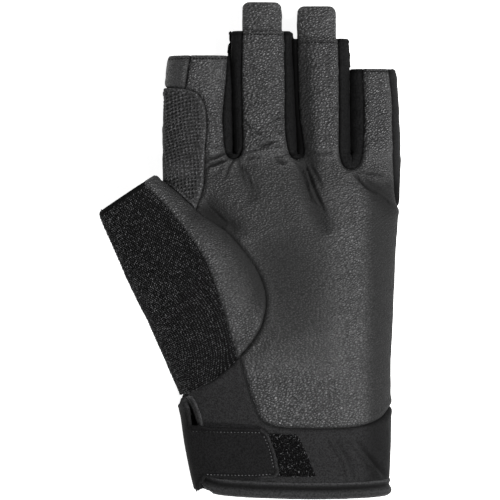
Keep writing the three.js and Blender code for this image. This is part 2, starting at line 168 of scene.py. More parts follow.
# Folds of the palm, each a line of points, its depth and its half width.
BROAD_FOLDS = [
    ([(20, 39), (25, 25), (32, 6)], 2.8, 3.6),
    ([(20.5, 89), (21.3, 62), (23, 42), (27, 26)], 3.0, 3.4),
    ([(-20.5, 20.8), (-13, 14.0), (-6, 6.5)], 2.4, 3.0),
    ([(-6, 37), (-2, 28), (2, 20)], 1.2, 3.5),
    ([(42, 33), (51, 24), (60, 14)], 1.8, 3.5),
    ([(8, 8), (15, -14), (20, -38)], 1.3, 16),
    ([(-22, 23), (-13, 15), (-4, 4)], 1.8, 4.0),
]
FINE_FOLDS = [
    ([(18.9, 37.0), (22.0, 31.3), (25.8, 19.5)], 0.7, 0.55),
    ([(22.5, 36.5), (25.6, 30.4), (27.8, 24), (31.6, 15.4)], 0.75, 0.65),
    ([(25.2, 36), (28.0, 31), (30.2, 25.4)], 0.45, 0.6),
    ([(24.2, 21.6), (27.4, 19.6), (30, 16.6)], 0.4, 0.55),
    ([(42.5, 32.5), (48.5, 26), (54, 23), (60.2, 17.2)], 1.0, 0.55),
    ([(44.5, 33), (51.5, 31.8), (58, 30.8)], 0.6, 0.5),
    ([(46, 30.5), (51, 27.5), (58.5, 22)], 0.5, 0.6),
    ([(-7.3, 37.6), (-9.3, 34), (-10.4, 30)], 0.5, 0.6),
    ([(-5.6, 38), (-3, 31.2), (-1.6, 27.5)], 0.6, 0.55),
    ([(-4.6, 36.5), (-1.2, 31), (1.0, 25.3)], 0.45, 0.55),
    ([(-2.4, 53.5), (-0.2, 51.5), (1.4, 49.9)], 0.8, 0.6),
    ([(1.4, 49.9), (3.2, 48.8), (5.0, 48.1)], 1.1, 0.5),
    ([(1.8, 43.8), (5.4, 43.7), (10.4, 45.4)], 1.3, 0.65),
    ([(-1.4, 41.8), (3.4, 42.2), (8, 42.9), (13.4, 43.9)], 0.7, 0.5),
    ([(-2.2, 38.5), (1.4, 38.9), (4.9, 39.0)], 0.6, 0.5),
    ([(10.0, 38.2), (12.5, 37.0), (14.8, 36.0)], 0.9, 0.8),
    ([(9.4, 38.6), (11.6, 39.1), (13.9, 39.1)], 0.6, 0.5),
    ([(9.6, 53.9), (11.4, 55), (13.4, 55.7)], 0.7, 0.5),
    ([(10.8, 48.8), (12.4, 49.5), (14.0, 50.4)], 0.6, 0.5),
    ([(-1.5, 60.5), (3.5, 62), (8, 61.6)], 0.3, 0.6),
    ([(22.5, 43), (28, 40.5), (35, 41)], 0.45, 0.6),
    ([(-18.9, 39), (-15, 38.6), (-10.4, 41)], 0.9, 0.6),
    ([(-18.4, 34.6), (-15, 36), (-10.4, 37.6)], 1.0, 0.6),
    ([(-17.5, 43), (-14, 43.4), (-11, 45)], 0.5, 0.5),
    ([(-20.9, 17.8), (-15.2, 13.4), (-9.9, 9.2)], 1.0, 1.9),
    ([(-15.5, 17.6), (-12.3, 14.4), (-9.6, 11.2)], 0.3, 0.6),
    ([(33, -78), (38.5, -87), (42, -97)], -0.5, 0.7),
    ([(41, -78), (48, -87), (55.5, -96)], -0.55, 0.8),
    ([(35.2, -78), (40.7, -87), (44.2, -97)], 0.22, 1.2),
    ([(43.4, -78), (50.4, -87), (57.9, -96)], 0.25, 1.3),
]


# The plan is kept on a grid for distances to seams and outlines.
GRID_STEP = 0.4
GRID_X = np.arange(-72, 72.1, GRID_STEP)
GRID_Y = np.arange(-114, 114.1, GRID_STEP)
REACH = 9.0
FOLD_REACH = 34.0


def smooth(points, steps=6):
    """Points of the smooth curve through the given ones."""
    p = np.array(points, float)
    p = np.vstack([p[:1], p, p[-1:]])
    t = np.linspace(0, 1, steps, endpoint=False)[:, None]
    runs = []
    for a, b, c, d in zip(p, p[1:], p[2:], p[3:]):
        u, v = (c - a) / 2, (d - b) / 2
        runs.append((2 * b - 2 * c + u + v) * t ** 3 + (3 * c - 3 * b - 2 * u - v) * t ** 2 + u * t + b)
    return np.vstack(runs + [p[-1:]])


def line_maps(line, reach=REACH):
    """Plan grids of the distance to a line and of how far along it the nearest place is."""
    line = np.array(line, float)
    gap = np.full((len(GRID_X), len(GRID_Y)), reach)
    along = np.zeros_like(gap)
    lengths = np.linalg.norm(np.diff(line, axis=0), axis=1)
    start = 0.0
    for a, b, length in zip(line, line[1:], lengths):
        low, high = np.minimum(a, b) - reach, np.maximum(a, b) + reach
        i = slice(np.searchsorted(GRID_X, low[0]), np.searchsorted(GRID_X, high[0]))
        j = slice(np.searchsorted(GRID_Y, low[1]), np.searchsorted(GRID_Y, high[1]))
        dx, dy = GRID_X[i][:, None] - a[0], GRID_Y[j][None, :] - a[1]
        run = b - a
        t = np.clip((dx * run[0] + dy * run[1]) / max(length ** 2, 1e-9), 0, 1)
        far = np.hypot(dx - t * run[0], dy - t * run[1])
        nearer = far < gap[i, j]
        gap[i, j][nearer] = far[nearer]
        along[i, j][nearer] = ((start + t * length) / lengths.sum())[nearer]
        start += length
    return gap, along


def region_map(*parts):
    """A plan grid of the signed distance to a closed outline, below 0 inside it."""
    outline = np.vstack([np.array(part, float) for part in parts])
    closed = np.vstack([outline, outline[:1]])
    gap, _ = line_maps(closed)
    inside = np.zeros(gap.shape, bool)
    for (ax, ay), (bx, by) in zip(closed, closed[1:]):
        rows = np.flatnonzero((ay > GRID_Y) != (by > GRID_Y))
        if len(rows):
            at = ax + (GRID_Y[rows] - ay) * (bx - ax) / (by - ay)
            inside[:, rows] ^= GRID_X[:, None] < at
    return np.where(inside, -gap, gap)


def sample(grid, p):
    """A plan grid's value at points, straight between its places."""
    i = np.clip((p[:, 0] - GRID_X[0]) / GRID_STEP, 0, len(GRID_X) - 1.001)
    j = np.clip((p[:, 1] - GRID_Y[0]) / GRID_STEP, 0, len(GRID_Y) - 1.001)
    i0, j0 = i.astype(int), j.astype(int)
    u, v = i - i0, j - j0
    low = grid[i0, j0] * (1 - u) + grid[i0 + 1, j0] * u
    high = grid[i0, j0 + 1] * (1 - u) + grid[i0 + 1, j0 + 1] * u
    return low * (1 - v) + high * v


def folds_map(folds, ridge=0.0):
    """A plan grid of the folds' depth. A ridge is the raised edge on both sides of a fold."""
    depth = np.zeros((len(GRID_X), len(GRID_Y)))
    for line, deep, wide in folds:
        gap, along = line_maps(smooth(line, 4), FOLD_REACH)
        profile = np.exp(-(gap / wide) ** 2) - ridge * np.exp(-((gap - 2.2 * wide) / (1.2 * wide)) ** 2)
        depth += deep * (1 - (2 * along - 1) ** 4) * profile
    return depth


# A tube's table is kept at close places between these two.
TABLE_STEP = 0.25
TABLE_LOW = -116.0
TABLE_HIGH = 116


def table_of(rows):
    """A tube's columns at close places along it, by the cubic through its rows."""
    table = np.array(rows, float)
    ys, values = table[:, 0], table[:, 1:]
    before = np.vstack([values[:1], values[:-1]])
    after = np.vstack([values[1:], values[-1:]])
    span = np.append(ys[1:], ys[-1]) - np.append(ys[0], ys[:-1])
    slopes = (after - before) / span[:, None]
    at = np.clip(np.arange(TABLE_LOW, TABLE_HIGH, TABLE_STEP), ys[0], ys[-1])
    i = np.clip(np.searchsorted(ys, at, side="right") - 1, 0, len(ys) - 2)
    run = (ys[i + 1] - ys[i])[:, None]
    t = (at - ys[i])[:, None] / run
    rise = t * t * (3 - 2 * t)
    bend = run * t * (1 - t) * (slopes[i] * (1 - t) - slopes[i + 1] * t)
    left, right, top, bottom = (values[i] + (values[i + 1] - values[i]) * rise + bend).T
    middle = bottom + (top - bottom) * WIDEST_AT
    centre, half = (left + right) / 2, (right - left) / 2
    return np.stack([centre, half, middle, top - middle, middle - bottom], axis=1)


def tube(table, x, y, z):
    """About the distance to a tube's surface, below 0 inside."""
    at = np.clip((y - TABLE_LOW) / TABLE_STEP, 0, len(table) - 1.001)
    i = at.astype(int)
    t = (at - i)[:, None]
    centre, half, middle, up, down = (table[i] * (1 - t) + table[i + 1] * t).T
    height = np.where(z > middle, up, down)
    u = np.abs((x - centre) / half) + 1e-3
    w = np.abs((z - middle) / height) + 1e-3
    size = (u ** ROUNDNESS + w ** ROUNDNESS) ** (1 / ROUNDNESS)
    power = ROUNDNESS - 1
    slope = np.hypot((u / size) ** power / half, (w / size) ** power / height)
    return (size - 1) / slope


def soft_min(a, b, k):
    """The smaller of two distances, rounded over about k where they meet."""
    h = np.maximum(k - np.abs(a - b), 0) / k
    return np.minimum(a, b) - h * h * h * k / 6


def thumb_frame(p):
    """Places across and along the thumb."""
    dx, dy = p[:, 0] - THUMB_OPENING[0], p[:, 1] - THUMB_OPENING[1]
    c, s = math.cos(THUMB_LEAN), math.sin(THUMB_LEAN)
    return dx * c + dy * s, dy * c - dx * s


def slit_x(slit, y, z):
    """Where a slit's middle is across the hand."""
    root_x, root_y, tip_x = slit
    return root_x + (tip_x - root_x) * (y - root_y) / (120 - root_y) + SLIT_LEAN * (z - 8)


HAND_TABLE = table_of(HAND)
FINGER_TABLES = [table_of(rows) for rows in (INDEX, MIDDLE, RING, LITTLE)]
THUMB_TABLE = table_of(THUMB)
BROAD = folds_map(BROAD_FOLDS)
FINE_LINES = folds_map(FINE_FOLDS, 0.4)


def rest_field(p):
    """The hand and fingers, without the thumb."""
    x, y, z = p.T
    lifted = z + sample(BROAD, p) * np.clip((z - 9) / 6, 0, 1)
    hand = -soft_min(-tube(HAND_TABLE, x, y, lifted), WEB_Y - y, HAND_BLEND)
    solid = hand.copy()
    far = y > FINGERS_FROM
    if not far.any():
        return solid
    fingers = np.full(far.sum(), OUTSIDE)
    for table in FINGER_TABLES:
        fingers = np.minimum(fingers, tube(table, x[far], y[far], lifted[far]))
    part = soft_min(hand[far], np.maximum(fingers, FINGERS_FROM - y[far]), HAND_BLEND)
    for slit in SLITS:
        gap = SLIT_GAP / 2 - np.abs(x[far] - slit_x(slit, y[far], z[far]))
        notch = np.minimum(np.minimum(gap, y[far] - slit[1]), z[far] - SLIT_FLOOR)
        part = -soft_min(-part, -notch, SLIT_BLEND)
    solid[far] = part
    return solid


def thumb_field(p):
    """The thumb alone, which starts under the palm."""
    u, v = thumb_frame(p)
    field = np.full(len(p), OUTSIDE)
    near = (u > -45) & (u < 48) & (v < 16)
    field[near] = tube(THUMB_TABLE, u[near], v[near], p[near, 2])
    return np.maximum(np.maximum(field, v - 10), -84 - v)


def glove_field(p):
    """The whole glove's outside, above the floor."""
    return np.maximum(soft_min(rest_field(p), thumb_field(p), THUMB_BLEND), -p[:, 2])


# The probe for a field's slope, the blocks that a grid is taken in, and how near a cut a point
# has to be for the cut to go through it.
PROBE = 0.05
GRID_BLOCK = 5
BLOCKS_AT_ONCE = 1500
SNAP = 0.06


def changes(field, p, here):
    """How much the field changes over a short probe along each axis."""
    return np.stack([field(p + PROBE * axis) - here for axis in np.eye(3)], axis=1)


def unit(vectors, least=1e-9):
    """The vectors made 1 long, apart from those that are shorter than the least."""
    return vectors / np.maximum(np.linalg.norm(vectors, axis=1, keepdims=True), least)


def grid_values(field, low, high, step):
    """The field on a grid, taken closely only near its surface."""
    block = GRID_BLOCK
    counts = np.ceil((np.array(high) - low) / step / block).astype(int)
    axes = [a + (np.arange(n) * block + (block - 1) / 2) * step for a, n in zip(low, counts)]
    centres = np.stack(np.meshgrid(*axes, indexing="ij"), axis=-1).reshape(-1, 3)
    coarse = field(centres).reshape(counts)
    values = coarse.repeat(block, 0).repeat(block, 1).repeat(block, 2)
    offsets = np.stack(np.meshgrid(*[np.arange(block)] * 3, indexing="ij"), axis=-1).reshape(-1, 3)
    near = np.argwhere(np.abs(coarse) < block * step * 0.9 + 0.8) * block
    for some in np.array_split(near, max(1, len(near) // BLOCKS_AT_ONCE)):
        at = (some[:, None, :] + offsets).reshape(-1, 3)
        values[tuple(at.T)] = field(np.array(low) + at * step)
    return values


def surface_net(field, low, high, step):
    """A triangle mesh on the field's zero."""
    values = grid_values(field, low, high, step)
    inside = values < 0
    nx, ny, nz = values.shape
    corners = [np.array((i, j, k)) for i in (0, 1) for j in (0, 1) for k in (0, 1)]
    count = sum(inside[i:nx - 1 + i, j:ny - 1 + j, k:nz - 1 + k].astype(np.int8) for i, j, k in corners)
    cells = np.argwhere((count > 0) & (count < 8))
    number = np.full((nx - 1, ny - 1, nz - 1), -1)
    number[tuple(cells.T)] = np.arange(len(cells))
    total = np.zeros((len(cells), 3))
    hits = np.zeros(len(cells))
    unit = np.eye(3, dtype=int)
    for a in corners:
        for axis in range(3):
            if a[axis]:
                continue
            va = values[tuple((cells + a).T)]
            vb = values[tuple((cells + a + unit[axis]).T)]
            cross = (va < 0) != (vb < 0)
            t = np.where(cross, va / np.where(cross, va - vb, 1), 0)
            total += (a + t[:, None] * unit[axis]) * cross[:, None]
            hits += cross
    points = np.array(low) + (cells + total / hits[:, None]) * step
    quads = []
    for axis in range(3):
        one, two = (axis + 1) % 3, (axis + 2) % 3
        ends = [n - (k == axis) for k, n in enumerate((nx, ny, nz))]
        starts = unit[axis]
        lower = inside[:ends[0], :ends[1], :ends[2]]
        upper = inside[starts[0]:, starts[1]:, starts[2]:]
        edges = np.argwhere(lower != upper)
        limit = np.array([nx, ny, nz]) - 1
        keep = (edges[:, one] > 0) & (edges[:, two] > 0)
        keep &= (edges[:, one] < limit[one]) & (edges[:, two] < limit[two])
        edges = edges[keep]
        out = lower[tuple(edges.T)]
        ring = [edges - unit[one] - unit[two], edges - unit[two], edges, edges - unit[one]]
        quad = np.stack([number[tuple(r.T)] for r in ring], axis=1)
        quad[~out] = quad[~out][:, ::-1]
        quads.append(quad)
    quads = np.vstack(quads)
    for _ in range(2):
        here = field(points)
        slope = changes(field, points, here) / PROBE
        size = np.linalg.norm(slope, axis=1, keepdims=True)
        push = np.clip(here[:, None] / np.maximum(size, 0.5), -0.5, 0.5)
        points = points - push * slope / np.maximum(size, 0.1)
    return points, np.vstack([quads[:, [0, 1, 2]], quads[:, [0, 2, 3]]])


def sides_of(tris):
    """The three sides of each triangle, the lower point first."""
    return np.sort(np.vstack([tris[:, [0, 1]], tris[:, [1, 2]], tris[:, [2, 0]]]), axis=1)


def compact(points, tris):
    """The points that the triangles use, the triangles between them, and which they were."""
    used, index = np.unique(tris, return_inverse=True)
    return points[used], index.reshape(-1, 3), used


def split(points, tris, marks, key):
    """Cuts the triangles along the zero of one of the marks kept at each point."""
    marks[np.abs(marks[:, key]) < SNAP, key] = 0.0
    side = marks[:, key]
    sign = np.sign(side).astype(int)
    s = sign[tris]
    crossing = (s.min(axis=1) < 0) & (s.max(axis=1) > 0)
    if not crossing.any():
        return points, tris, marks
    kept, cut = tris[~crossing], tris[crossing]
    edges = sides_of(cut)
    edges = np.unique(edges[sign[edges[:, 0]] * sign[edges[:, 1]] < 0], axis=0)
    a, b = side[edges[:, 0]], side[edges[:, 1]]
    t = (a / (a - b))[:, None]
    made = points[edges[:, 0]] * (1 - t) + points[edges[:, 1]] * t
    made_marks = marks[edges[:, 0]] * (1 - t) + marks[edges[:, 1]] * t
    made_marks[:, key] = 0.0
    keys = edges[:, 0] * len(points) + edges[:, 1]

    def middle(i, j):
        return len(points) + np.searchsorted(keys, np.minimum(i, j) * len(points) + np.maximum(i, j))

    def turned(triangles, first):
        rows = np.arange(len(triangles))
        return np.stack([triangles[rows, (first + k) % 3] for k in range(3)], axis=1)

    touching = (sign[cut] == 0).any(axis=1)
    one = turned(cut[touching], np.argmax(sign[cut[touching]] == 0, axis=1))
    m = middle(one[:, 1], one[:, 2])
    out = [kept, np.stack([one[:, 0], one[:, 1], m], 1), np.stack([one[:, 0], m, one[:, 2]], 1)]
    two = cut[~touching]
    lone = -np.sign(sign[two].sum(axis=1))[:, None]
    two = turned(two, np.argmax(sign[two] == lone, axis=1))
    m1, m2 = middle(two[:, 0], two[:, 1]), middle(two[:, 0], two[:, 2])
    out += [np.stack([two[:, 0], m1, m2], 1), np.stack([m1, two[:, 1], two[:, 2]], 1)]
    out += [np.stack([m1, two[:, 2], m2], 1)]
    return np.vstack([points, made]), np.vstack(out), np.vstack([marks, made_marks])


def wrist_height(p):
    """How far up the glove a point is from the wrist's edge."""
    line = smooth(WRIST_EDGE)
    return p[:, 1] - np.interp(p[:, 0], line[:, 0], line[:, 1])


def finger_of(p):
    """Which finger a point is on, from 0 for the index finger to 3 for the little one."""
    x, y, z = p.T
    return sum((x > slit_x(slit, y, z)).astype(int) for slit in SLITS)


def finger_depth(p):
    """How far inside its finger's opening a point is, or 20 where it is on the hand."""
    return np.where(p[:, 1] > 60, np.array(FINGER_ENDS)[finger_of(p)] - p[:, 1], 20)


SLIT_MAP = region_map(smooth(SLIT_FRONT), smooth(SLIT_BACK))
SLIT_SIDE_MAP = region_map(smooth(SLIT_FRONT), [(-FAR, -106), (-FAR, -59.8)])
HEEL_MAP = region_map(smooth(THUMB_ROOT[5:])[::-1], smooth(HEEL[1:]),
                      [(FAR, -58), (FAR, -FAR), (-FAR, -FAR)])


def panel_marks(p):
    """Values that part the panels, each below 0 on its own side."""
    z = p[:, 2]
    up = SIDE_SEAM_Z - z
    strip = sample(region_map(smooth(LITTLE_RIGHT), [(FAR, 9), (FAR, 92)]), p)
    wrap = sample(SLIT_SIDE_MAP, p)
    root = sample(region_map(smooth(THUMB_ROOT), [(-FAR, -62), (-FAR, 60)]), p)
    pile = sample(region_map(smooth(THUMB_PILE), [(FAR, -49), (FAR, 32)]), p)
    side = region_map(smooth(INDEX_SIDE), smooth(PATCH_TOP)[::-1][7:], [(-48, 92)])
    patch = region_map(smooth(PATCH_TOP), smooth(PATCH_RIGHT)[1:], [(-60, 8)])
    gussets = [region_map(smooth(a), smooth(b)[::-1]) for a, b in GUSSETS]
    _, v = thumb_frame(p)
    mix = np.clip((v + 26) / 7, 0, 1)
    thumb = thumb_field(p)
    thumb_side = root * (1 - mix) + (thumb - rest_field(p)) * mix
    marks = [
        -wrist_height(p),
        -finger_depth(p),
        np.where(thumb < THUMB_NEAR, v, -9.0),
        np.maximum(sample(SLIT_MAP, p), SLIT_LOW - z),
        np.maximum(thumb_side, up),
        np.maximum(pile, np.where(v > -27, 13 - z, -5.0)),
        np.minimum(np.minimum(-up, strip), wrap),
    ]
    marks += [np.maximum(sample(region, p), up) for region in gussets + [side, patch, HEEL_MAP]]
    return np.stack(marks, axis=1)


# The places of the values above, and the panels in the order in which they are told apart.
WRIST, ENDS, TIP, SLIT, THUMB_KEY, PILE, BACK, ONE, TWO, THREE, SIDE, PATCH, CUFF = range(13)
PANELS = ["thumb_leather", "thumb_terry", "back_panel", "gusset_index_middle", "gusset_middle_ring",
          "gusset_ring_little", "index_side", "index_patch", "cuff_front", "palm_leather"]


def sewn_panels():
    """The glove's outer surface cut along its seams: points, triangles and each one's panel."""
    points, tris = surface_net(glove_field, (-66, -108, -1.2), (66, 95, 31), FINE)
    marks = panel_marks(points)
    for key in (WRIST, ENDS, TIP, SLIT):
        points, tris, marks = split(points, tris, marks, key)
        inside = marks[tris, key].sum(axis=1) < 0
        tris = tris[~inside] if key == SLIT else tris[inside]
    for key in (THUMB_KEY, PILE, BACK, ONE, TWO, THREE, SIDE, PATCH, CUFF):
        points, tris, marks = split(points, tris, marks, key)
    here = marks[tris].sum(axis=1) < 0
    choices = [here[:, THUMB_KEY] & here[:, PILE], here[:, THUMB_KEY], here[:, BACK]]
    choices += [here[:, key] for key in (ONE, TWO, THREE, SIDE, PATCH, CUFF)]
    label = np.select(choices, range(9), 9)
    points, tris, _ = compact(points, tris)
    return points, tris, label


def value_noise(p, size, seed):
    """Smooth noise between -1 and 1 with features of about this size, the same each run."""
    random = np.random.RandomState(seed)
    lattice = random.rand(32, 32, 32) * 2 - 1
    q = p / size + 64
    i = np.floor(q).astype(int)
    f = q - i
    f = f * f * (3 - 2 * f)
    total = np.zeros(len(p))
    for a in (0, 1):
        for b in (0, 1):
            for c in (0, 1):
                weight = np.abs(1 - a - f[:, 0]) * np.abs(1 - b - f[:, 1]) * np.abs(1 - c - f[:, 2])
                total += weight * lattice[(i[:, 0] + a) % 32, (i[:, 1] + b) % 32, (i[:, 2] + c) % 32]
    return total


def hump(distance, width):
    """A smooth bump: 1 in the middle, near 0 beyond twice its width."""
    return np.exp(-(distance / width) ** 2)


def ease(value):
    """A smooth rise from 0 to 1."""
    t = np.clip(value, 0, 1)
    return t * t * (3 - 2 * t)


def edges_of(tris):
    """Each edge once, how many triangles share it, and the first and last of them."""
    edges = sides_of(tris)
    owner = np.tile(np.arange(len(tris)), 3)
    keys = edges[:, 0] * (tris.max() + 1) + edges[:, 1]
    order = np.argsort(keys, kind="stable")
    _, first, counts = np.unique(keys[order], return_index=True, return_counts=True)
    last = first + counts - 1
    return edges[order[first]], counts, owner[order[first]], owner[order[last]]


def tree_of(places):
    """A search tree of points."""
    tree = kdtree.KDTree(len(places))
    for i, place in enumerate(places):
        tree.insert(place, i)
    tree.balance()
    return tree


def nearness(points, line_points):
    """The distance from points to the nearest of a line's points, and which it is."""
    tree = tree_of(line_points)
    found = [tree.find(place) for place in points]
    return np.array([f[2] for f in found]), np.array([f[1] for f in found])


def normals_of(points, tris):
    """The normals of a mesh at its points."""
    a, b, c = (points[tris[:, k]] for k in range(3))
    face = np.cross(b - a, c - a)
    total = np.zeros_like(points)
    for k in range(3):
        np.add.at(total, tris[:, k], face)
    return unit(total, 1e-12)


# How deep and how wide a seam's valley is, by the panels it joins.
SEAM_DEFAULT = (0.9, 0.5)
SEAM_DEPTHS = {
    ("index_patch", "palm_leather"): (0.9, 0.7),
    ("index_side", "palm_leather"): (1.0, 0.5),
    ("cuff_front", "palm_leather"): (0.8, 0.7),
    ("palm_leather", "thumb_leather"): (1.4, 0.65),
    ("thumb_leather", "thumb_terry"): (0.5, 0.6),
    ("back_panel", "palm_leather"): (0.9, 0.8),
}
# How far inside each finger's opening its hem is stitched.
HEM_LINES = [1.1, 1.7, 2.1, 1.1]


def seam_valleys(points, tris, label):
    """The distance to the nearest seam, and how deep and how wide its valley is."""
    edges, counts, first, last = edges_of(tris)
    seam = (counts == 2) & (label[first] != label[last])
    beside = zip(label[first[seam]], label[last[seam]])
    pairs = [tuple(sorted((PANELS[a], PANELS[b]))) for a, b in beside]
    shape = np.array([SEAM_DEPTHS.get(pair, SEAM_DEFAULT) for pair in pairs])
    gap, nearest = nearness(points, points[edges[seam]].mean(axis=1))
    return gap, *shape[nearest].T


def body_relief(points, normals, valleys, folds, facing):
    """How far each point of the sewn body stands out from the plain form."""
    gap, deep, wide = valleys
    relief = -deep * hump(gap, wide) + 0.28 * hump(gap - 2.4, 1.5)
    relief -= 1.5 * folds
    hem = finger_depth(points)
    stitched_at = np.array(HEM_LINES)[finger_of(points)]
    relief += -0.7 * hump(hem, 0.5) - 0.3 * hump(hem - stitched_at, 0.45) * (hem < 15)
    _, v = thumb_frame(points)
    mouth = np.where(thumb_field(points) < THUMB_NEAR, -v, 20.0)
    relief += -0.8 * hump(mouth, 0.6) - 0.25 * hump(mouth - 3.2, 0.5)
    relief += 0.22 * value_noise(points, 11.0, 3)
    above_heel = np.minimum(-sample(HEEL_MAP, points), 0)
    relief += 0.8 * hump(above_heel + 8, 4.5) * facing
    on_fingers = ease((points[:, 1] - 32) / 12)
    relief += (0.09 + 0.1 * on_fingers) * value_noise(points * [1, 1.5, 1], 4.0, 4)
    relief -= 0.55 * ease(7.2 - wrist_height(points)) * (normals[:, 2] < 0.5)
    return np.where(normals[:, 2] < -0.5, np.minimum(relief, 0) * (gap < 3), relief)


def body_painted_shade(points, gap, folds, facing):
    """Painted shade, as how light each point is: less in seams, folds and hems, by the slits and down
    the palm.
    """
    x, y, z = points.T
    dim = np.ones(len(points))
    # Painted shade in the slits between the fingers, on the ring finger's left flank, at the palm's
    # right edge and in its middle.
    for slit in SLITS:
        dim -= 0.85 * hump(x - slit_x(slit, y, z), 1.4) * ease((y - 40) / 3)
    dim -= 0.4 * hump(x - slit_x(SLITS[1], y, z) - 5, 3.2) * ease((y - 34) / 4)
    dim -= 0.6 * ease((x - 44) / 9) * ease((32 - y) / 6)
    dim -= 0.23 * hump(x - 16, 22) * hump(y + 2, 34)
    hem = finger_depth(points)
    # Painted shade in the seams, folds and palm hollows, and along the hems' stitch lines.
    tone = dim - 0.92 * hump(gap, 0.5) - 0.9 * np.clip(1.2 * folds, 0, 1) ** 1.3
    hollow = 0.2 * np.clip(sample(BROAD, points), 0, 3) * facing
    tone -= hollow + 0.4 * hump(hem - 1.4, 0.5) * (hem < 15)
    return np.clip(tone, 0.08, 1)


def gloss_and_highlight_of(p, name):
    """How glossy and coarse the leather is, most of all on the fingers, the palm's right and heel, and
    how much lighter, as a painted highlight.
    """
    x, y = p[:, 0], p[:, 1]
    if name == "thumb_leather":
        # The band by the pile seam and the thumb's low part get a painted highlight.
        seam, _ = line_maps(smooth(THUMB_PILE))
        return np.clip(0.15 + 0.85 * hump(sample(seam, p), 5.0) + 0.8 * hump(y + 36, 15.0), 0, 1)
    if name == "index_side":
        return np.full(len(p), 0.35)
    fingers = ease((y - 34) / 12) * (1 - 0.55 * hump(x + 14, 6) * ease((y - 60) / 15))
    side = 0.85 * hump(x - 43, 11.0) * ease((34 - y) / 12)
    heel = ease((-40 - y) / 16) * (0.35 + 0.65 * ease((46 - x) / 12))
    return np.clip(np.maximum(fingers, np.maximum(side, heel)), 0, 1)


# The pitch of the patch's stitched grid.
PATCH_PITCH = 1.5


def lattice_relief(points, gap):
    """The patch's relief and tone: a pad with a stitched rim and a grid of slightly curved ridges,
    darker in the cells between them, with painted shade in the rim's seam and stitched groove.
    """
    x, y = points[:, 0] + 27, points[:, 1] - 45
    row = y - 0.22 * x + 0.018 * x * x + 0.5 * np.sin(y / 7.0)
    column = x + 0.12 * y + 0.35 * np.sin(y / 5.0)
    across = np.abs((row / PATCH_PITCH) % 1 - 0.5) * PATCH_PITCH
    down = np.abs((column / PATCH_PITCH) % 1 - 0.5) * PATCH_PITCH
    ridge = np.maximum(hump(PATCH_PITCH / 2 - across, 0.3), 0.85 * hump(PATCH_PITCH / 2 - down, 0.28))
    strength = 0.75 + 0.25 * ease((x + 8) / 6)
    strength *= 1 - 0.75 * hump(points[:, 1] - 33.5, 3.0) * ease((4 - x) / 4)
    inner = ease((gap - 1.6) / 1.0)
    pad = 0.55 * ease(gap / 1.1) - 0.35 * hump(gap - 1.9, 0.35)
    fleck = 0.75 + 0.25 * value_noise(points, 1.0, 21)
    # Painted shade along the rim's seam and, below, in the stitched groove; the cells between the
    # ridges are darker.
    tone = fleck * (1 - 0.95 * (1 - ridge) * (0.35 + 0.65 * strength) * inner) - 0.5 * hump(gap, 0.6)
    smooth_side = ease((x + 9.8) / 2.5)
    lift = pad + 0.75 * (ridge - 0.5) * strength * inner * smooth_side
    return lift, np.clip(tone - 0.3 * hump(gap - 1.9, 0.45), 0.06, 1)


def refine(points, tris):
    """Each triangle as four."""
    edges, index = np.unique(sides_of(tris), axis=0, return_inverse=True)
    ab, bc, ca = index.reshape(3, -1) + len(points)
    a, b, c = tris.T
    parts = ((a, ab, ca), (ab, b, bc), (ca, bc, c), (ab, bc, ca))
    finer = np.vstack([np.stack(part, axis=1) for part in parts])
    return np.vstack([points, points[edges].mean(axis=1)]), finer


def from_rim(points, tris):
    """The distance from points to the open edge of their mesh."""
    edges, counts, _, _ = edges_of(tris)
    gap, _ = nearness(points, points[edges[counts == 1]].mean(axis=1))
    return gap


def covered(field, low, high, cuts, relief, step=FINE):
    """Cloth laid on a field's surface, cut by its marks and raised by its relief, and its tone."""
    points, tris = surface_net(field, low, high, step)
    marks = cuts(points)
    for key in range(marks.shape[1]):
        points, tris, marks = split(points, tris, marks, key)
        tris = tris[marks[tris, key].sum(axis=1) < 0]
    points, tris, _ = compact(points, tris)
    lift, tone = relief(points, from_rim(points, tris))
    return points + normals_of(points, tris) * lift[:, None], tris, np.clip(tone, 0.1, 3)


# How far each cloth on the cuff lies above the glove, and its outline.
STRAP_LIFT = 2.9
STRAP_LOW = 2.4
STRAP_WALL = 1.6
STRAP_OUTLINE = [(-45, -67.5), (-30.2, -64.8), (-29.6, -62.6), (-28.6, -61.5), (-27.4, -62.0),
                 (-26.0, -65.4), (-25.0, -73.4), (4.6, -74.3), (7.6, -76.6), (10.4, -84),
                 (12.2, -92.6), (11.2, -95), (2, -95.7), (-19, -95.2), (-20.8, -98.5),
                 (-22, -101.2), (-45, -101.2)]
STRAP_MAP = region_map(STRAP_OUTLINE)
PILE_LIFT = 0.7
PILE_LOW = 12
PILE_WALL = 0.6
PILE_OUTLINE = [(-6, -76.6), (19.6, -76.6), (23.2, -84), (27.6, -94.6), (-6, -94.6)]
PILE_MAP = region_map(PILE_OUTLINE)
BINDING_LIFT = 0.8
BINDING_WALL = 1.3
BINDING_HEIGHT = 6.9
BINDING_SIDE = 2.3


def strap_field(p):
    return glove_field(p) - STRAP_LIFT


def strap_cuts(p):
    """The strap's outline, its low edge on the glove's side, and its upper edge there."""
    flank = p[:, 1] + 61.0 + 0.3 * np.clip(13 - p[:, 2], 0, None)
    return np.stack([sample(STRAP_MAP, p), STRAP_LOW - p[:, 2], flank], axis=1)


def strap_relief(p, gap):
    """A thin edge and a stitched groove inside it, with painted shade in the groove, a painted
    highlight along the end's edge, and lighter at the upper corner.
    """
    groove = hump(gap - 1.7, 0.4) * (p[:, 2] > 9)
    lift = -0.8 * hump(gap, 0.45) - 0.3 * groove + 0.12 * value_noise(p, 9.0, 8)
    tip = 1.6 * hump(p[:, 1] + 62, 7.0) * ease((-25 - p[:, 0]) / 1.5)
    # Painted shade in the groove and a painted highlight along the end's edge.
    return lift, 1 - 0.5 * groove + tip + 1.6 * hump(gap - 0.5, 0.45) * ease((p[:, 0] - 3) / 2)


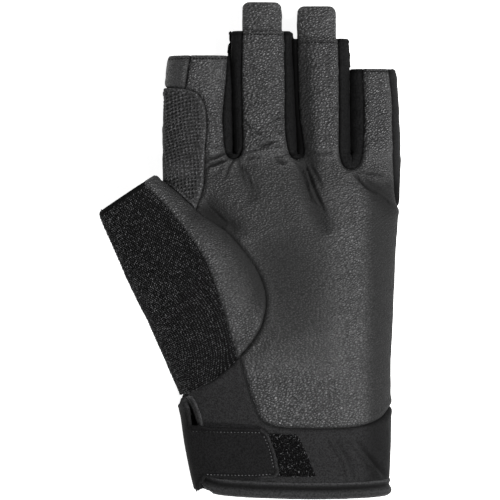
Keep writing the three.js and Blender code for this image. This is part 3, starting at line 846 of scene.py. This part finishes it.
def pile_field(p):
    return glove_field(p) - PILE_LIFT


def pile_cuts(p):
    return np.stack([sample(PILE_MAP, p), PILE_LOW - p[:, 2]], axis=1)


def pile_relief(p, gap):
    return -0.5 * hump(gap, 0.5) + 0.25 * value_noise(p, 1.3, 12), np.ones(len(p))


def binding_field(p):
    return glove_field(p) - BINDING_LIFT


def binding_cuts(p):
    """A band round the wrist's edge and up the front edge of the slit."""
    low = SLIT_LOW - p[:, 2]
    front, _ = line_maps(smooth(SLIT_FRONT))
    beside = np.maximum(sample(front, p) - BINDING_SIDE, np.maximum(p[:, 1] + 61.5, low))
    beside = np.maximum(beside, -sample(SLIT_SIDE_MAP, p))
    band = np.minimum(wrist_height(p) - BINDING_HEIGHT, beside)
    return np.stack([band, -wrist_height(p), -np.maximum(sample(SLIT_MAP, p), low)], axis=1)


def binding_relief(p, gap):
    """A rolled edge with a groove above it, and a light rim: painted shade in the groove, a painted
    highlight on the rim and on the roll.
    """
    edge = wrist_height(p)
    groove = hump(edge - (BINDING_HEIGHT - 2.3), 1.15) * (p[:, 2] > 0.5)
    roll = hump(edge - 2.2, 1.8) * (p[:, 2] > 0.5)
    lift = 0.8 * roll - 0.6 * hump(gap, 0.45) - 0.7 * groove + 0.12 * value_noise(p, 5.0, 9)
    # Painted shade in the groove; painted highlights on the rim and along the roll.
    return lift, 1 - 0.9 * groove + 1.5 * hump(gap - 0.4, 0.4) + 0.5 * hump(edge - 2.6, 1.0)


def tab_outline(low_x, high_x, low_y, high_y, corner=3.0):
    """A rectangle with its two upper corners rounded."""
    points = [(low_x, low_y), (high_x, low_y)]
    for cx, cy, start in ((high_x - corner, high_y - corner, 0), (low_x + corner, high_y - corner, 90)):
        for turn in range(0, 91, 15):
            angle = math.radians(start + turn)
            points.append((cx + corner * math.cos(angle), cy + corner * math.sin(angle)))
    return points


# The pull tabs: the finger, and the tab's left, right, low and high edge.
TABS = {
    "pull_tab_middle": (1, (-3.6, 14.0, 85, 104.1)),
    "pull_tab_ring": (2, (19.2, 36.5, 82, 102.4)),
}
TAB_INSET = 1.25
TAB_WALL = 1.7
TAB_LOW = 10.5
TAB_GLOSS = 0.9


def tab_mesh(finger, edges):
    """A tab that lies a little inside its finger's surface, with a fold near its tip."""
    outline = region_map(tab_outline(*edges))
    low_x, high_x, low_y, high_y = edges

    def field(p):
        return tube(FINGER_TABLES[finger], p[:, 0], p[:, 1], p[:, 2]) + TAB_INSET

    def cuts(p):
        return np.stack([sample(outline, p), TAB_LOW - p[:, 2]], axis=1)

    def relief(p, gap):
        fold = hump(high_y - 3.0 - p[:, 1], 0.5)
        puff = 0.35 * ease(gap / 3.5)
        lift = puff - 0.9 * hump(gap, 0.6) - 0.15 * fold + 0.15 * value_noise(p, 5.0, finger)
        # Painted shade along the tab's edge.
        return lift, 1 - 0.5 * hump(gap, 0.5)

    return covered(field, (low_x - 2, low_y - 2, 8), (high_x + 2, high_y + 2, 20), cuts, relief, FINER)


def on_top(field, plan, top=34.0, bottom=2.0, step=0.7):
    """Points on the field's top surface above places in the plan, and the normals there."""
    p = np.column_stack([plan, np.full(len(plan), top)])
    low, high = np.full(len(p), bottom), np.full(len(p), top)
    for z in np.arange(top, bottom, -step):
        p[:, 2] = z
        fresh = (field(p) < 0) & (low == bottom)
        low[fresh] = z
        high[fresh] = z + step
    for _ in range(7):
        middle = (low + high) / 2
        p[:, 2] = middle
        inside = field(p) < 0
        low = np.where(inside, middle, low)
        high = np.where(inside, high, middle)
    return p, unit(changes(field, p, field(p)))


def spaced(line, spacing, offset=0.0):
    """Places at even spaces along a line, moved to its left by an offset, and its directions."""
    line = smooth(line)
    lengths = np.append(0, np.cumsum(np.linalg.norm(np.diff(line, axis=0), axis=1)))
    at = np.arange(spacing / 2, lengths[-1], spacing)

    def along(run):
        return np.column_stack([np.interp(run, lengths, line[:, k]) for k in (0, 1)])

    places = along(at)
    way = unit(along(at + 0.3) - along(at - 0.3))
    return places + offset * np.column_stack([-way[:, 1], way[:, 0]]), way


def beads(places, ways, ups, length, width, height):
    """Small rounded stitches, each along its way and raised along its up."""
    rings, sides = 4, 6
    across = np.cross(ups, ways)
    shape = []
    for i in range(rings + 1):
        reach = math.cos(math.pi * i / rings)
        round_ = max(math.sin(math.pi * i / rings), 0.12) ** 0.7
        for j in range(sides):
            turn = 2 * math.pi * j / sides
            wide, high = round_ * math.cos(turn) * width / 2, round_ * math.sin(turn) * height
            shape.append((reach * length / 2, wide, high))
    shape = np.array(shape)
    points = places[:, None, :] + ways[:, None, :] * shape[None, :, :1]
    points = points + across[:, None, :] * shape[None, :, 1:2] + ups[:, None, :] * shape[None, :, 2:]
    faces = []
    for i in range(rings):
        for j in range(sides):
            k = (j + 1) % sides
            faces.append((i * sides + j, i * sides + k, (i + 1) * sides + k, (i + 1) * sides + j))
    caps = [tuple(range(sides))[::-1], tuple(range(rings * sides, (rings + 1) * sides))]
    starts = [n * len(shape) for n in range(len(places))]
    all_faces = [tuple(v + start for v in face) for start in starts for face in faces + caps]
    return points.reshape(-1, 3), all_faces


def stitched(field, lines, lift, size, body=None):
    """Beads along lines on a surface: each line with its spacing and its offset.

    The body is a search tree of its points and how far each was moved, which the beads follow.
    """
    places, ways, ups = [], [], []
    for line, spacing, offset in lines:
        plan, way = spaced(line, spacing, offset)
        on, up = on_top(field, plan)
        ahead, _ = on_top(field, plan + way * 0.4)
        run = unit(ahead - on)
        good = np.abs(run[:, 2]) < 0.85
        if body:
            tree, moved = body
            on = on + np.array([moved[tree.find(place)[1]] for place in on])
        places.append((on + up * lift)[good])
        ways.append(run[good])
        ups.append(up[good])
    return beads(np.vstack(places), np.vstack(ways), np.vstack(ups), *size)


def scattered(points, tris, normals, cell, seed, crowd=5):
    """Places spread over a mesh, about one to each small cell of space, and their normals."""
    random = np.random.RandomState(seed)
    a, b, c = (points[tris[:, k]] for k in range(3))
    area = np.linalg.norm(np.cross(b - a, c - a), axis=1) / 2
    count = int(area.sum() / cell ** 2 * crowd)
    pick = np.searchsorted(np.cumsum(area) / area.sum(), random.rand(count))
    pick = np.clip(pick, 0, len(tris) - 1)
    r, s = np.sqrt(random.rand(count))[:, None], random.rand(count)[:, None]
    places = a[pick] * (1 - r) + b[pick] * (r * (1 - s)) + c[pick] * (r * s)
    ups = normals[tris[pick, 0]]
    cells = np.floor(places / cell).astype(int)
    _, keep = np.unique(cells[:, 0] * 1000003 + cells[:, 1] * 1009 + cells[:, 2], return_index=True)
    return places[keep], ups[keep]


# How far a loop's two ends go into the cloth.
LOOP_ROOT = 0.15


def flat_ways(turn):
    """Directions in the plan, by their angles."""
    return np.column_stack([np.cos(turn), np.sin(turn), np.zeros(len(turn))])


def loops(places, ups, ways, length, height, radius, seed):
    """Small arches of yarn standing on a surface."""
    random = np.random.RandomState(seed)
    ways = unit(ways - ups * (ways * ups).sum(axis=1, keepdims=True))
    across = np.cross(ups, ways)
    count = len(places)
    long = length * (0.75 + 0.5 * random.rand(count))
    high = height * (0.7 + 0.6 * random.rand(count))
    steps, sides = 3, 3
    points = np.zeros((count, steps + 1, sides, 3))
    for i in range(steps + 1):
        t = math.pi * i / steps
        middle = places + ways * (long * -math.cos(t) / 2)[:, None]
        middle = middle + ups * (high * math.sin(t) - LOOP_ROOT)[:, None]
        out = ways * -math.cos(t) + ups * math.sin(t)
        for j in range(sides):
            turn = 2 * math.pi * j / sides
            points[:, i, j] = middle + radius * (out * math.cos(turn) + across * math.sin(turn))
    faces = []
    for i in range(steps):
        for j in range(sides):
            k = (j + 1) % sides
            faces.append((i * sides + j, (i + 1) * sides + j, (i + 1) * sides + k, i * sides + k))
    faces = np.array(faces)
    shift = np.arange(count)[:, None, None] * (steps + 1) * sides
    return points.reshape(-1, 3), (faces[None] + shift).reshape(-1, 4).tolist()


def in_rows(places, ups, row_pitch, pitch, turn):
    """The places nearest to the crossings of slanted rows round the thumb, one for each."""
    u, v = thumb_frame(places)
    at = np.clip((v - TABLE_LOW) / TABLE_STEP, 0, len(THUMB_TABLE) - 1).astype(int)
    centre, half, middle, up, _ = THUMB_TABLE[at].T
    angle = np.arctan2((places[:, 2] - middle) / up, (u - centre) / half)
    turns = np.linspace(-math.pi, math.pi, 721)
    size = (np.abs(np.cos(turns)) ** ROUNDNESS + np.abs(np.sin(turns)) ** ROUNDNESS) ** (1 / ROUNDNESS)
    steps = np.hypot(np.diff(np.cos(turns) / size), 0.75 * np.diff(np.sin(turns) / size))
    run = np.append(0, np.cumsum(steps))
    around = (np.interp(angle, turns, run) - np.interp(math.pi / 2, turns, run)) * half
    c, s = math.cos(turn), math.sin(turn)
    row, column = (around * c - v * s) / row_pitch, (around * s + v * c) / pitch
    i, j = np.round(row), np.round(column + 0.5 * (np.round(row) % 2))
    off = np.hypot(row - i, column + 0.5 * (i % 2) - j)
    order = np.argsort(off)
    _, first = np.unique((i * 100003 + j)[order].astype(int), return_index=True)
    keep = order[first]
    keep = keep[off[keep] < 0.35]
    return places[keep], ups[keep]


# Greys lean a little to blue. The wave texture's scale is for a pitch of 1 mm.
BLUISH = 1.03
WAVE_SCALE = 0.314
SHEEN_ROUGHNESS = 0.4


def fill(tree, made, **inputs):
    """Sets or links a node's inputs, each by its name or by its number as _0."""
    for name, value in inputs.items():
        socket = made.inputs[int(name[1:]) if name[1:].isdigit() else name.replace("_", " ")]
        if isinstance(value, bpy.types.NodeSocket):
            tree.links.new(value, socket)
        else:
            socket.default_value = value


def node(tree, kind, settings=None, **inputs):
    """A shader node with its settings and its inputs."""
    made = tree.nodes.new("ShaderNode" + kind)
    for name, value in (settings or {}).items():
        setattr(made, name, value)
    fill(tree, made, **inputs)
    return made


def material(name, roughness, specular, sheen=0.0):
    made = bpy.data.materials.new(name)
    made.use_nodes = True
    tree = made.node_tree
    shader = tree.nodes["Principled BSDF"]
    fill(tree, shader, Roughness=roughness, Specular_IOR_Level=specular)
    fill(tree, shader, Sheen_Weight=sheen, Sheen_Roughness=SHEEN_ROUGHNESS)
    return made, tree, shader


def millimetres(tree, stretch=(1, 1, 1), turn=0.0):
    """The object's own coordinates in millimetres, turned and then stretched."""
    coordinates = node(tree, "TexCoord").outputs["Object"]
    scale = tuple(MM / s for s in stretch)
    turned = {"Vector": coordinates, "Scale": scale, "Rotation": (0, 0, turn)}
    return node(tree, "Mapping", {"vector_type": "TEXTURE"}, **turned).outputs[0]


def noise(tree, vector, scale, detail=2.0, roughness=0.5):
    made = node(tree, "TexNoise", Vector=vector, Scale=scale, Detail=detail, Roughness=roughness)
    return made.outputs["Fac"]


def cells(tree, vector, scale, feature="DISTANCE_TO_EDGE"):
    made = node(tree, "TexVoronoi", {"feature": feature}, Vector=vector, Scale=scale)
    return made.outputs["Distance"]


def ranged(tree, value, low, high, to_low=0.0, to_high=1.0, smoothly=False):
    kind = {"interpolation_type": "SMOOTHSTEP"} if smoothly else None
    made = node(tree, "MapRange", kind, _0=value, _1=low, _2=high, _3=to_low, _4=to_high)
    return made.outputs[0]


def mixed(tree, factor, a, b):
    return node(tree, "Mix", {"data_type": "FLOAT"}, _0=factor, _2=a, _3=b).outputs[0]


def product(tree, a, b):
    return node(tree, "Math", {"operation": "MULTIPLY"}, _0=a, _1=b).outputs[0]


def attribute(tree, name):
    """A number kept at each point of a mesh: its tone, low in seams and folds as painted shade, or how
    glossy the leather is, which also lightens it as a painted highlight.
    """
    return node(tree, "Attribute", {"attribute_name": name}).outputs["Fac"]


def pebbled(tree, vector, scale, crease):
    """Rounded pebbles: their height, and a mask that is 0 in the creases between them."""
    across = cells(tree, vector, scale, "F1")
    dome = ranged(tree, product(tree, across, across), 0.0, 0.45, 1.0, 0.0)
    return dome, ranged(tree, cells(tree, vector, scale), 0.0, crease, smoothly=True)


def shaded(tree, value, dark, light):
    """A colour between two greys by a value, darkened by the tone, which holds painted shade in seams,
    folds and grooves.
    """
    ramp = node(tree, "ValToRGB", _0=value)
    for stop, shade in zip(ramp.color_ramp.elements, (dark, light)):
        stop.color = (shade, shade, shade * BLUISH, 1)
    kind = {"data_type": "RGBA", "blend_type": "MULTIPLY"}
    return node(tree, "Mix", kind, _0=1.0, _6=ramp.outputs[0], _7=attribute(tree, "tone")).outputs[2]


def bumped(tree, height, distance, strength=1.0, under=None):
    """A bump whose distance is in millimetres, on top of another one."""
    made = node(tree, "Bump", Height=height, Distance=distance * MM, Strength=strength)
    if under is not None:
        fill(tree, made, Normal=under)
    return made.outputs[0]


def warped(tree, vector, amount, scale):
    """Coordinates pushed about by a noise."""
    push = node(tree, "TexNoise", Vector=vector, Scale=scale, Detail=1.0).outputs["Color"]
    push = node(tree, "VectorMath", {"operation": "SUBTRACT"}, _0=push, _1=(0.5, 0.5, 0.5)).outputs[0]
    push = node(tree, "VectorMath", {"operation": "SCALE"}, _0=push, Scale=amount).outputs[0]
    return node(tree, "VectorMath", {"operation": "ADD"}, _0=vector, _1=push).outputs[0]


def leather(name, dark, light, roughness, depth, coarse_everywhere=False):
    """Grained leather: fine and dull, or coarse and glossy where the mesh says so, and lighter there as
    a painted highlight.
    """
    made, tree, shader = material(name, roughness, 0.5)
    big = 1.0 if coarse_everywhere else attribute(tree, "gloss_and_highlight")
    level = warped(tree, millimetres(tree, (0.7, 1.3, 1.0)), 0.9, 0.5)
    fine, fine_mask = pebbled(tree, level, 1.3, 0.26)
    slanted = warped(tree, millimetres(tree, (0.72, 1.2, 1.0), 0.45), 1.0, 0.45)
    coarse, coarse_mask = pebbled(tree, slanted, 1.0, 0.33)
    height = product(tree, mixed(tree, big, fine, coarse), mixed(tree, big, 0.5, 1.0))
    grain = mixed(tree, big, fine_mask, coarse_mask)
    soft = noise(tree, millimetres(tree), 0.11, 3.0)
    patchy = product(tree, grain, ranged(tree, soft, 0.25, 0.75, 0.6, 1.0))
    # The colour is lighter where the leather is coarse and glossy, a painted highlight.
    patchy = product(tree, patchy, mixed(tree, big, 0.2, 1.0))
    creased = product(tree, attribute(tree, "tone"), ranged(tree, grain, 0.0, 1.0, 0.5, 1.0))
    rough = ranged(tree, creased, 0.3, 1.0, 0.95, mixed(tree, big, roughness + 0.12, roughness))
    creases = noise(tree, millimetres(tree, (0.4, 1.6, 1.0), 0.4), 0.5, 2.0, 0.5)
    normal = bumped(tree, product(tree, creases, mixed(tree, big, 0.45, 1.0)), 0.6, 0.8)
    normal = bumped(tree, height, depth, 1.0, normal)
    fill(tree, shader, Base_Color=shaded(tree, patchy, dark, light), Roughness=rough, Normal=normal)
    return made


def knit(name, dark, light, pitch, turn, depth, specular, sheen=0.05):
    """Fine ribbed or twilled cloth."""
    made, tree, shader = material(name, 0.85, specular, sheen)
    common = {"Vector": millimetres(tree, turn=turn), "Distortion": 0.6}
    scale = WAVE_SCALE / pitch
    ribs = {"wave_profile": "SIN"}
    across = {"wave_profile": "SIN", "bands_direction": "Y"}
    ribs = node(tree, "TexWave", ribs, Scale=scale, Detail_Scale=0.8, Detail=1.0, **common)
    across = node(tree, "TexWave", across, Scale=scale * 1.3, **common)
    weave = product(tree, ribs.outputs["Fac"], across.outputs["Fac"])
    fleck = ranged(tree, noise(tree, millimetres(tree), 1.6, 2.0, 0.7), 0.38, 0.62, 0.1, 1.3)
    lighter = node(tree, "Math", {"operation": "ADD"}, _0=weave, _1=0.35).outputs[0]
    value = product(tree, lighter, fleck)
    normal = bumped(tree, weave, depth, 0.7)
    normal = bumped(tree, noise(tree, millimetres(tree), 0.25, 4.0), 0.8, 0.5, normal)
    fill(tree, shader, Base_Color=shaded(tree, value, dark, light), Normal=normal)
    return made


def yarn(name, dark, light, specular, sheen=0.0):
    """Fuzzy thread, its tone uneven from place to place."""
    made, tree, shader = material(name, 0.75, specular, sheen)
    value = ranged(tree, noise(tree, millimetres(tree), 0.9, 3.0, 0.7), 0.35, 0.65)
    normal = bumped(tree, noise(tree, millimetres(tree), 4.0, 2.0), 0.08, 0.7)
    fill(tree, shader, Base_Color=shaded(tree, value, dark, light), Normal=normal)
    return made


def plain_floor():
    made, tree, shader = material("floor", 0.9, 0.1)
    white, pale = (1, 1, 1, 1), (0.6, 0.6, 0.6, 1)
    fill(tree, shader, Base_Color=pale, Emission_Color=white, Emission_Strength=0.9)
    return made


def put(name, points, faces, look, slot, stands_for=None, wall=0.0, tone=None, gloss_and_highlight=None):
    """A piece in the scene from millimetre points: its material, wall and place in the part."""
    mesh = bpy.data.meshes.new(name)
    faces = faces if isinstance(faces, list) else faces.tolist()
    mesh.from_pydata((np.asarray(points) * MM).tolist(), [], faces)
    mesh.materials.append(LOOKS[look])
    mesh.shade_smooth()
    for key, values in (("tone", tone), ("gloss_and_highlight", gloss_and_highlight)):
        values = np.ones(len(mesh.vertices)) if values is None else values
        mesh.attributes.new(key, "FLOAT", "POINT").data.foreach_set("value", values.astype(np.float32))
    piece = bpy.data.objects.new(name, mesh)
    bpy.context.scene.collection.objects.link(piece)
    if stands_for in FLAT_PARTS:
        planar = piece.modifiers.new("flat", "DECIMATE")
        planar.decimate_type = "DISSOLVE"
        planar.angle_limit = math.radians(0.4)
    if wall:
        thick = piece.modifiers.new("wall", "SOLIDIFY")
        thick.thickness = wall * MM
        thick.offset = -1
    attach(piece, "root")
    if stands_for:
        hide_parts(stands_for)


# The floor's width in view and the level that it is measured at, in metres.
VIEW_WIDTH = 0.21
VIEW_LEVEL = 0.012

# Area lights aimed at the middle: name, place, size and watts.
LIGHTS = [
    ("key", (0.72, 0.08, 0.95), (0.2, 0.36), 20),
    ("low", (0.2, -0.75, 1.0), (0.3, 0.2), 13),
    ("fill", (-0.9, 0.3, 0.7), (0.7, 0.9), 2),
]
WORLD_LIGHT = 0.12


def area_light(name, place, size, energy):
    data = bpy.data.lights.new(name, "AREA")
    data.shape = "RECTANGLE"
    data.size, data.size_y = size
    data.energy = energy
    lamp = bpy.data.objects.new(name, data)
    lamp.location = place
    lamp.rotation_euler = Vector(place).to_track_quat("Z", "Y").to_euler()
    bpy.context.scene.collection.objects.link(lamp)


# Leather: its darkest and lightest grey, roughness, the pebbles' depth, and if coarse all over.
# Cloth: its greys, the ribs' pitch, turn and depth, specular and sheen. Yarn: its greys,
# specular and sheen.
LOOKS = {
    "leather": leather("leather", 0.001, 0.06, 0.28, 0.46),
    "patch": leather("patch_leather", 0.003, 0.1, 0.6, 0.2, True),
    "stretch": knit("stretch_fabric", 0.0015, 0.011, 0.55, 0.0, 0.10, 0.06, 0.02),
    "back": knit("back_fabric", 0.005, 0.013, 0.6, 0.4, 0.12, 0.12, 0.02),
    "softshell": knit("softshell", 0.003, 0.022, 0.5, 0.785, 0.12, 0.12),
    "strap": knit("strap_fabric", 0.002, 0.013, 0.5, 0.785, 0.12, 0.06, 0.02),
    "tape": knit("binding_tape", 0.005, 0.024, 0.5, 0.0, 0.14, 0.12),
    "terry": yarn("terry_ground", 0.001, 0.003, 0.05),
    "terry_yarn": yarn("terry_yarn", 0.018, 0.12, 0.2),
    "pile": yarn("loop_pile", 0.001, 0.002, 0.03),
    "fuzz": yarn("loop_fuzz", 0.003, 0.3, 0.1),
    "thread": yarn("thread", 0.002, 0.004, 0.1),
    "light_thread": yarn("light_thread", 0.03, 0.12, 0.3, 0.1),
}
# The parts whose nearly flat faces are joined.
FLAT_PARTS = ["back_panel"]
# Each node's material, slot and wall.
DRESS = {
    "thumb_leather": ("leather", "palm_leather", WALL),
    "thumb_terry": ("terry", "terry", WALL),
    "back_panel": ("back", "back_fabric", WALL),
    "gusset_index_middle": ("stretch", "stretch_fabric", GUSSET_WALL),
    "gusset_middle_ring": ("stretch", "stretch_fabric", GUSSET_WALL),
    "gusset_ring_little": ("stretch", "stretch_fabric", GUSSET_WALL),
    "index_side": ("leather", "palm_leather", WALL),
    "index_patch": ("patch", "quilted_leather", WALL),
    "cuff_front": ("softshell", "softshell", WALL),
    "palm_leather": ("leather", "palm_leather", WALL),
}


def add_body():
    """The ten sewn panels. The stitches need the body's points and how far they moved."""
    points, tris, label = sewn_panels()
    normals = normals_of(points, tris)
    facing = ease((normals[:, 2] + 0.1) / 0.5)
    folds = sample(FINE_LINES, points) * facing
    valleys = seam_valleys(points, tris, label)
    tone = body_painted_shade(points, valleys[0], folds, facing)
    moved = points + normals * body_relief(points, normals, valleys, folds, facing)[:, None]
    moved[:, 2] = np.maximum(moved[:, 2], 0)
    for i, name in enumerate(PANELS):
        mine, faces, used = compact(moved, tris[label == i])
        shade = tone[used]
        if name == "index_patch":
            mine, faces = refine(mine, faces)
            lift, shade = lattice_relief(mine, from_rim(mine, faces))
            mine = mine + normals_of(mine, faces) * lift[:, None]
        if name == "thumb_leather":
            # Painted shade on the thumb's leather near its root seam, fading out low on the thumb.
            root, _ = line_maps(smooth(THUMB_ROOT))
            shade = shade * (1 - 0.6 * hump(sample(root, mine), 6.5) * ease((mine[:, 1] + 32) / 14))
        if name == "thumb_terry":
            add_terry(mine, faces)
        look, slot, wall = DRESS[name]
        gloss_and_highlight = gloss_and_highlight_of(mine, name) if look == "leather" else None
        put(name + "_cloth", mine, faces, look, slot, name, wall, shade, gloss_and_highlight)
    return tree_of(points), moved - points


def add_terry(points, tris):
    """Rows of small loops over the thumb's outer half."""
    places, ups = scattered(points, tris, normals_of(points, tris), 0.28, 5, 3)
    places, ups = in_rows(places, ups, 1.05, 0.75, 0.28)
    _, v = thumb_frame(places)
    keep = (v < -1.8) & (places[:, 2] > 0.5)
    places, ups = places[keep], ups[keep]
    random = np.random.RandomState(6)
    ways = flat_ways(np.radians(50) + 0.7 * (random.rand(len(places)) - 0.5))
    tone = 0.12 + 0.88 * random.rand(len(places)) ** 2
    points, faces = loops(places, ups, ways, 0.62, 0.5, 0.19, 7)
    tone = np.repeat(tone, len(points) // len(places))
    put("terry_loops", points, faces, "terry_yarn", "terry", tone=tone)


def add_strap():
    points, faces, tone = covered(strap_field, (-50, -104, 0), (16, -58, 30), strap_cuts, strap_relief)
    put("closure_strap_cloth", points, faces, "strap", "softshell", "closure_strap", STRAP_WALL, tone)


def add_loop_patch():
    """The loop patch, with small bright loops where the strap leaves it bare."""
    points, faces, _ = covered(pile_field, (-8, -97, 10), (29, -74, 26), pile_cuts, pile_relief, FINER)
    put("loop_patch_cloth", points, faces, "pile", "loop_pile", "loop_patch", PILE_WALL)
    places, ups = scattered(points, faces, normals_of(points, faces), 0.75, 13)
    keep = places[:, 0] > 4
    places, ups = places[keep], ups[keep]
    ways = flat_ways(2 * math.pi * np.random.RandomState(14).rand(len(places)))
    points, faces = loops(places, ups, ways, 0.8, 0.45, 0.09, 15)
    tone = 0.05 + 0.95 * np.random.RandomState(16).rand(len(places)) ** 7
    tone = np.repeat(tone, len(points) // len(places))
    put("loop_fuzz", points, faces, "fuzz", "loop_pile", tone=tone)


def add_binding():
    def field(p):
        return np.maximum(binding_field(p), -p[:, 2])

    points, faces, tone = covered(field, (-50, -108, -1.2), (66, -58, 30), binding_cuts, binding_relief)
    points[:, 2] = np.maximum(points[:, 2], 0)
    put("cuff_binding_cloth", points, faces, "tape", "binding_tape", "cuff_binding", BINDING_WALL, tone)


def add_tabs():
    for name, (finger, edges) in TABS.items():
        points, faces, tone = tab_mesh(finger, edges)
        gloss_and_highlight = np.full(len(points), TAB_GLOSS)
        put(name + "_cloth", points, faces, "leather", "palm_leather", name, TAB_WALL, tone, gloss_and_highlight)


# Stitched lines: the points, the stitches' spacing and the offset to the line's left.
HEM_STITCHES = [
    ([(-34, 79.9), (-25.6, 80.2)], 1.25, 0),
    ([(-24, 80.2), (-10.5, 80.3)], 1.25, 0),
    ([(-2.5, 90.2), (13.0, 90.2)], 1.25, 0),
    ([(20.5, 86.9), (35.8, 86.9)], 1.25, 0),
    ([(47.8, 74.9), (57.5, 74.9)], 1.25, 0),
    (PATCH_TOP[1:], 1.15, -0.9),
    (PATCH_RIGHT[:5], 1.15, -0.9),
    (PATCH_TOP[1:], 1.3, -2.4),
    (PATCH_RIGHT[:5], 1.3, -2.5),
    (INDEX_SIDE[1:], 1.2, 0.0),
]
STRAP_STITCHES = [
    ([(-24.5, -75.9), (-10, -76.0), (4.2, -76.1)], 1.45, 0),
    ([(-18.5, -93.9), (0, -94.0), (9.5, -93.4)], 1.45, 0),
    ([(5.6, -77.2), (8.0, -83), (10.0, -91.5)], 1.45, 0),
]


def add_stitches(body):
    """Rows of stitches, each stitch with its length, width and height."""
    points, faces = stitched(glove_field, HEM_STITCHES, 0.05, (0.85, 0.5, 0.3), body)
    put("hem_stitches", points, faces, "thread", "palm_leather")
    points, faces = stitched(strap_field, STRAP_STITCHES, -0.22, (0.62, 0.38, 0.22))
    put("strap_stitches", points, faces, "light_thread", "softshell")
    wrist = smooth(WRIST_EDGE) + [0, BINDING_HEIGHT - 2.9]
    wrist = wrist[(wrist[:, 0] > -12) & (wrist[:, 0] < 57)][::6]
    points, faces = stitched(binding_field, [(wrist, 1.5, 0)], -0.25, (0.95, 0.36, 0.2))
    put("binding_stitches", points, faces, "thread", "binding_tape")


def add_studio():
    scene = bpy.context.scene
    scene.view_settings.view_transform = "Standard"
    scene.view_settings.look = "None"
    data = bpy.data.cameras.new("camera")
    data.lens = 250
    data.sensor_width = 36
    data.clip_end = 10
    camera = bpy.data.objects.new("camera", data)
    camera.location = (0, 0, VIEW_WIDTH * data.lens / data.sensor_width + VIEW_LEVEL)
    scene.collection.objects.link(camera)
    scene.camera = camera
    for light in LIGHTS:
        area_light(*light)
    world = bpy.data.worlds.new("world")
    world.use_nodes = True
    tree = world.node_tree
    fill(tree, tree.nodes["Background"], Color=(1, 1, 1, 1), Strength=WORLD_LIGHT)
    scene.world = world
    mesh = bpy.data.meshes.new("floor")
    mesh.from_pydata([(-3, -3, 0), (3, -3, 0), (3, 3, 0), (-3, 3, 0)], [], [(0, 1, 2, 3)])
    mesh.materials.append(plain_floor())
    floor = bpy.data.objects.new("floor", mesh)
    scene.collection.objects.link(floor)
    floor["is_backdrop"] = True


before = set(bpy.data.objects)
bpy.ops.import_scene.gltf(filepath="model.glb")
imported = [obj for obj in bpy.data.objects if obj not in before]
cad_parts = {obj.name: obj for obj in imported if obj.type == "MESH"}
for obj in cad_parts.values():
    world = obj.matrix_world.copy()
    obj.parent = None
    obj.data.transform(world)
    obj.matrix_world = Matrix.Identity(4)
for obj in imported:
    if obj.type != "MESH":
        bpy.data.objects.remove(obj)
cad_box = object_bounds()
body = add_body()
add_strap()
add_loop_patch()
add_binding()
add_tabs()
add_stitches(body)
add_studio()
[[list(corner) for corner in box] for box in (cad_box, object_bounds())]
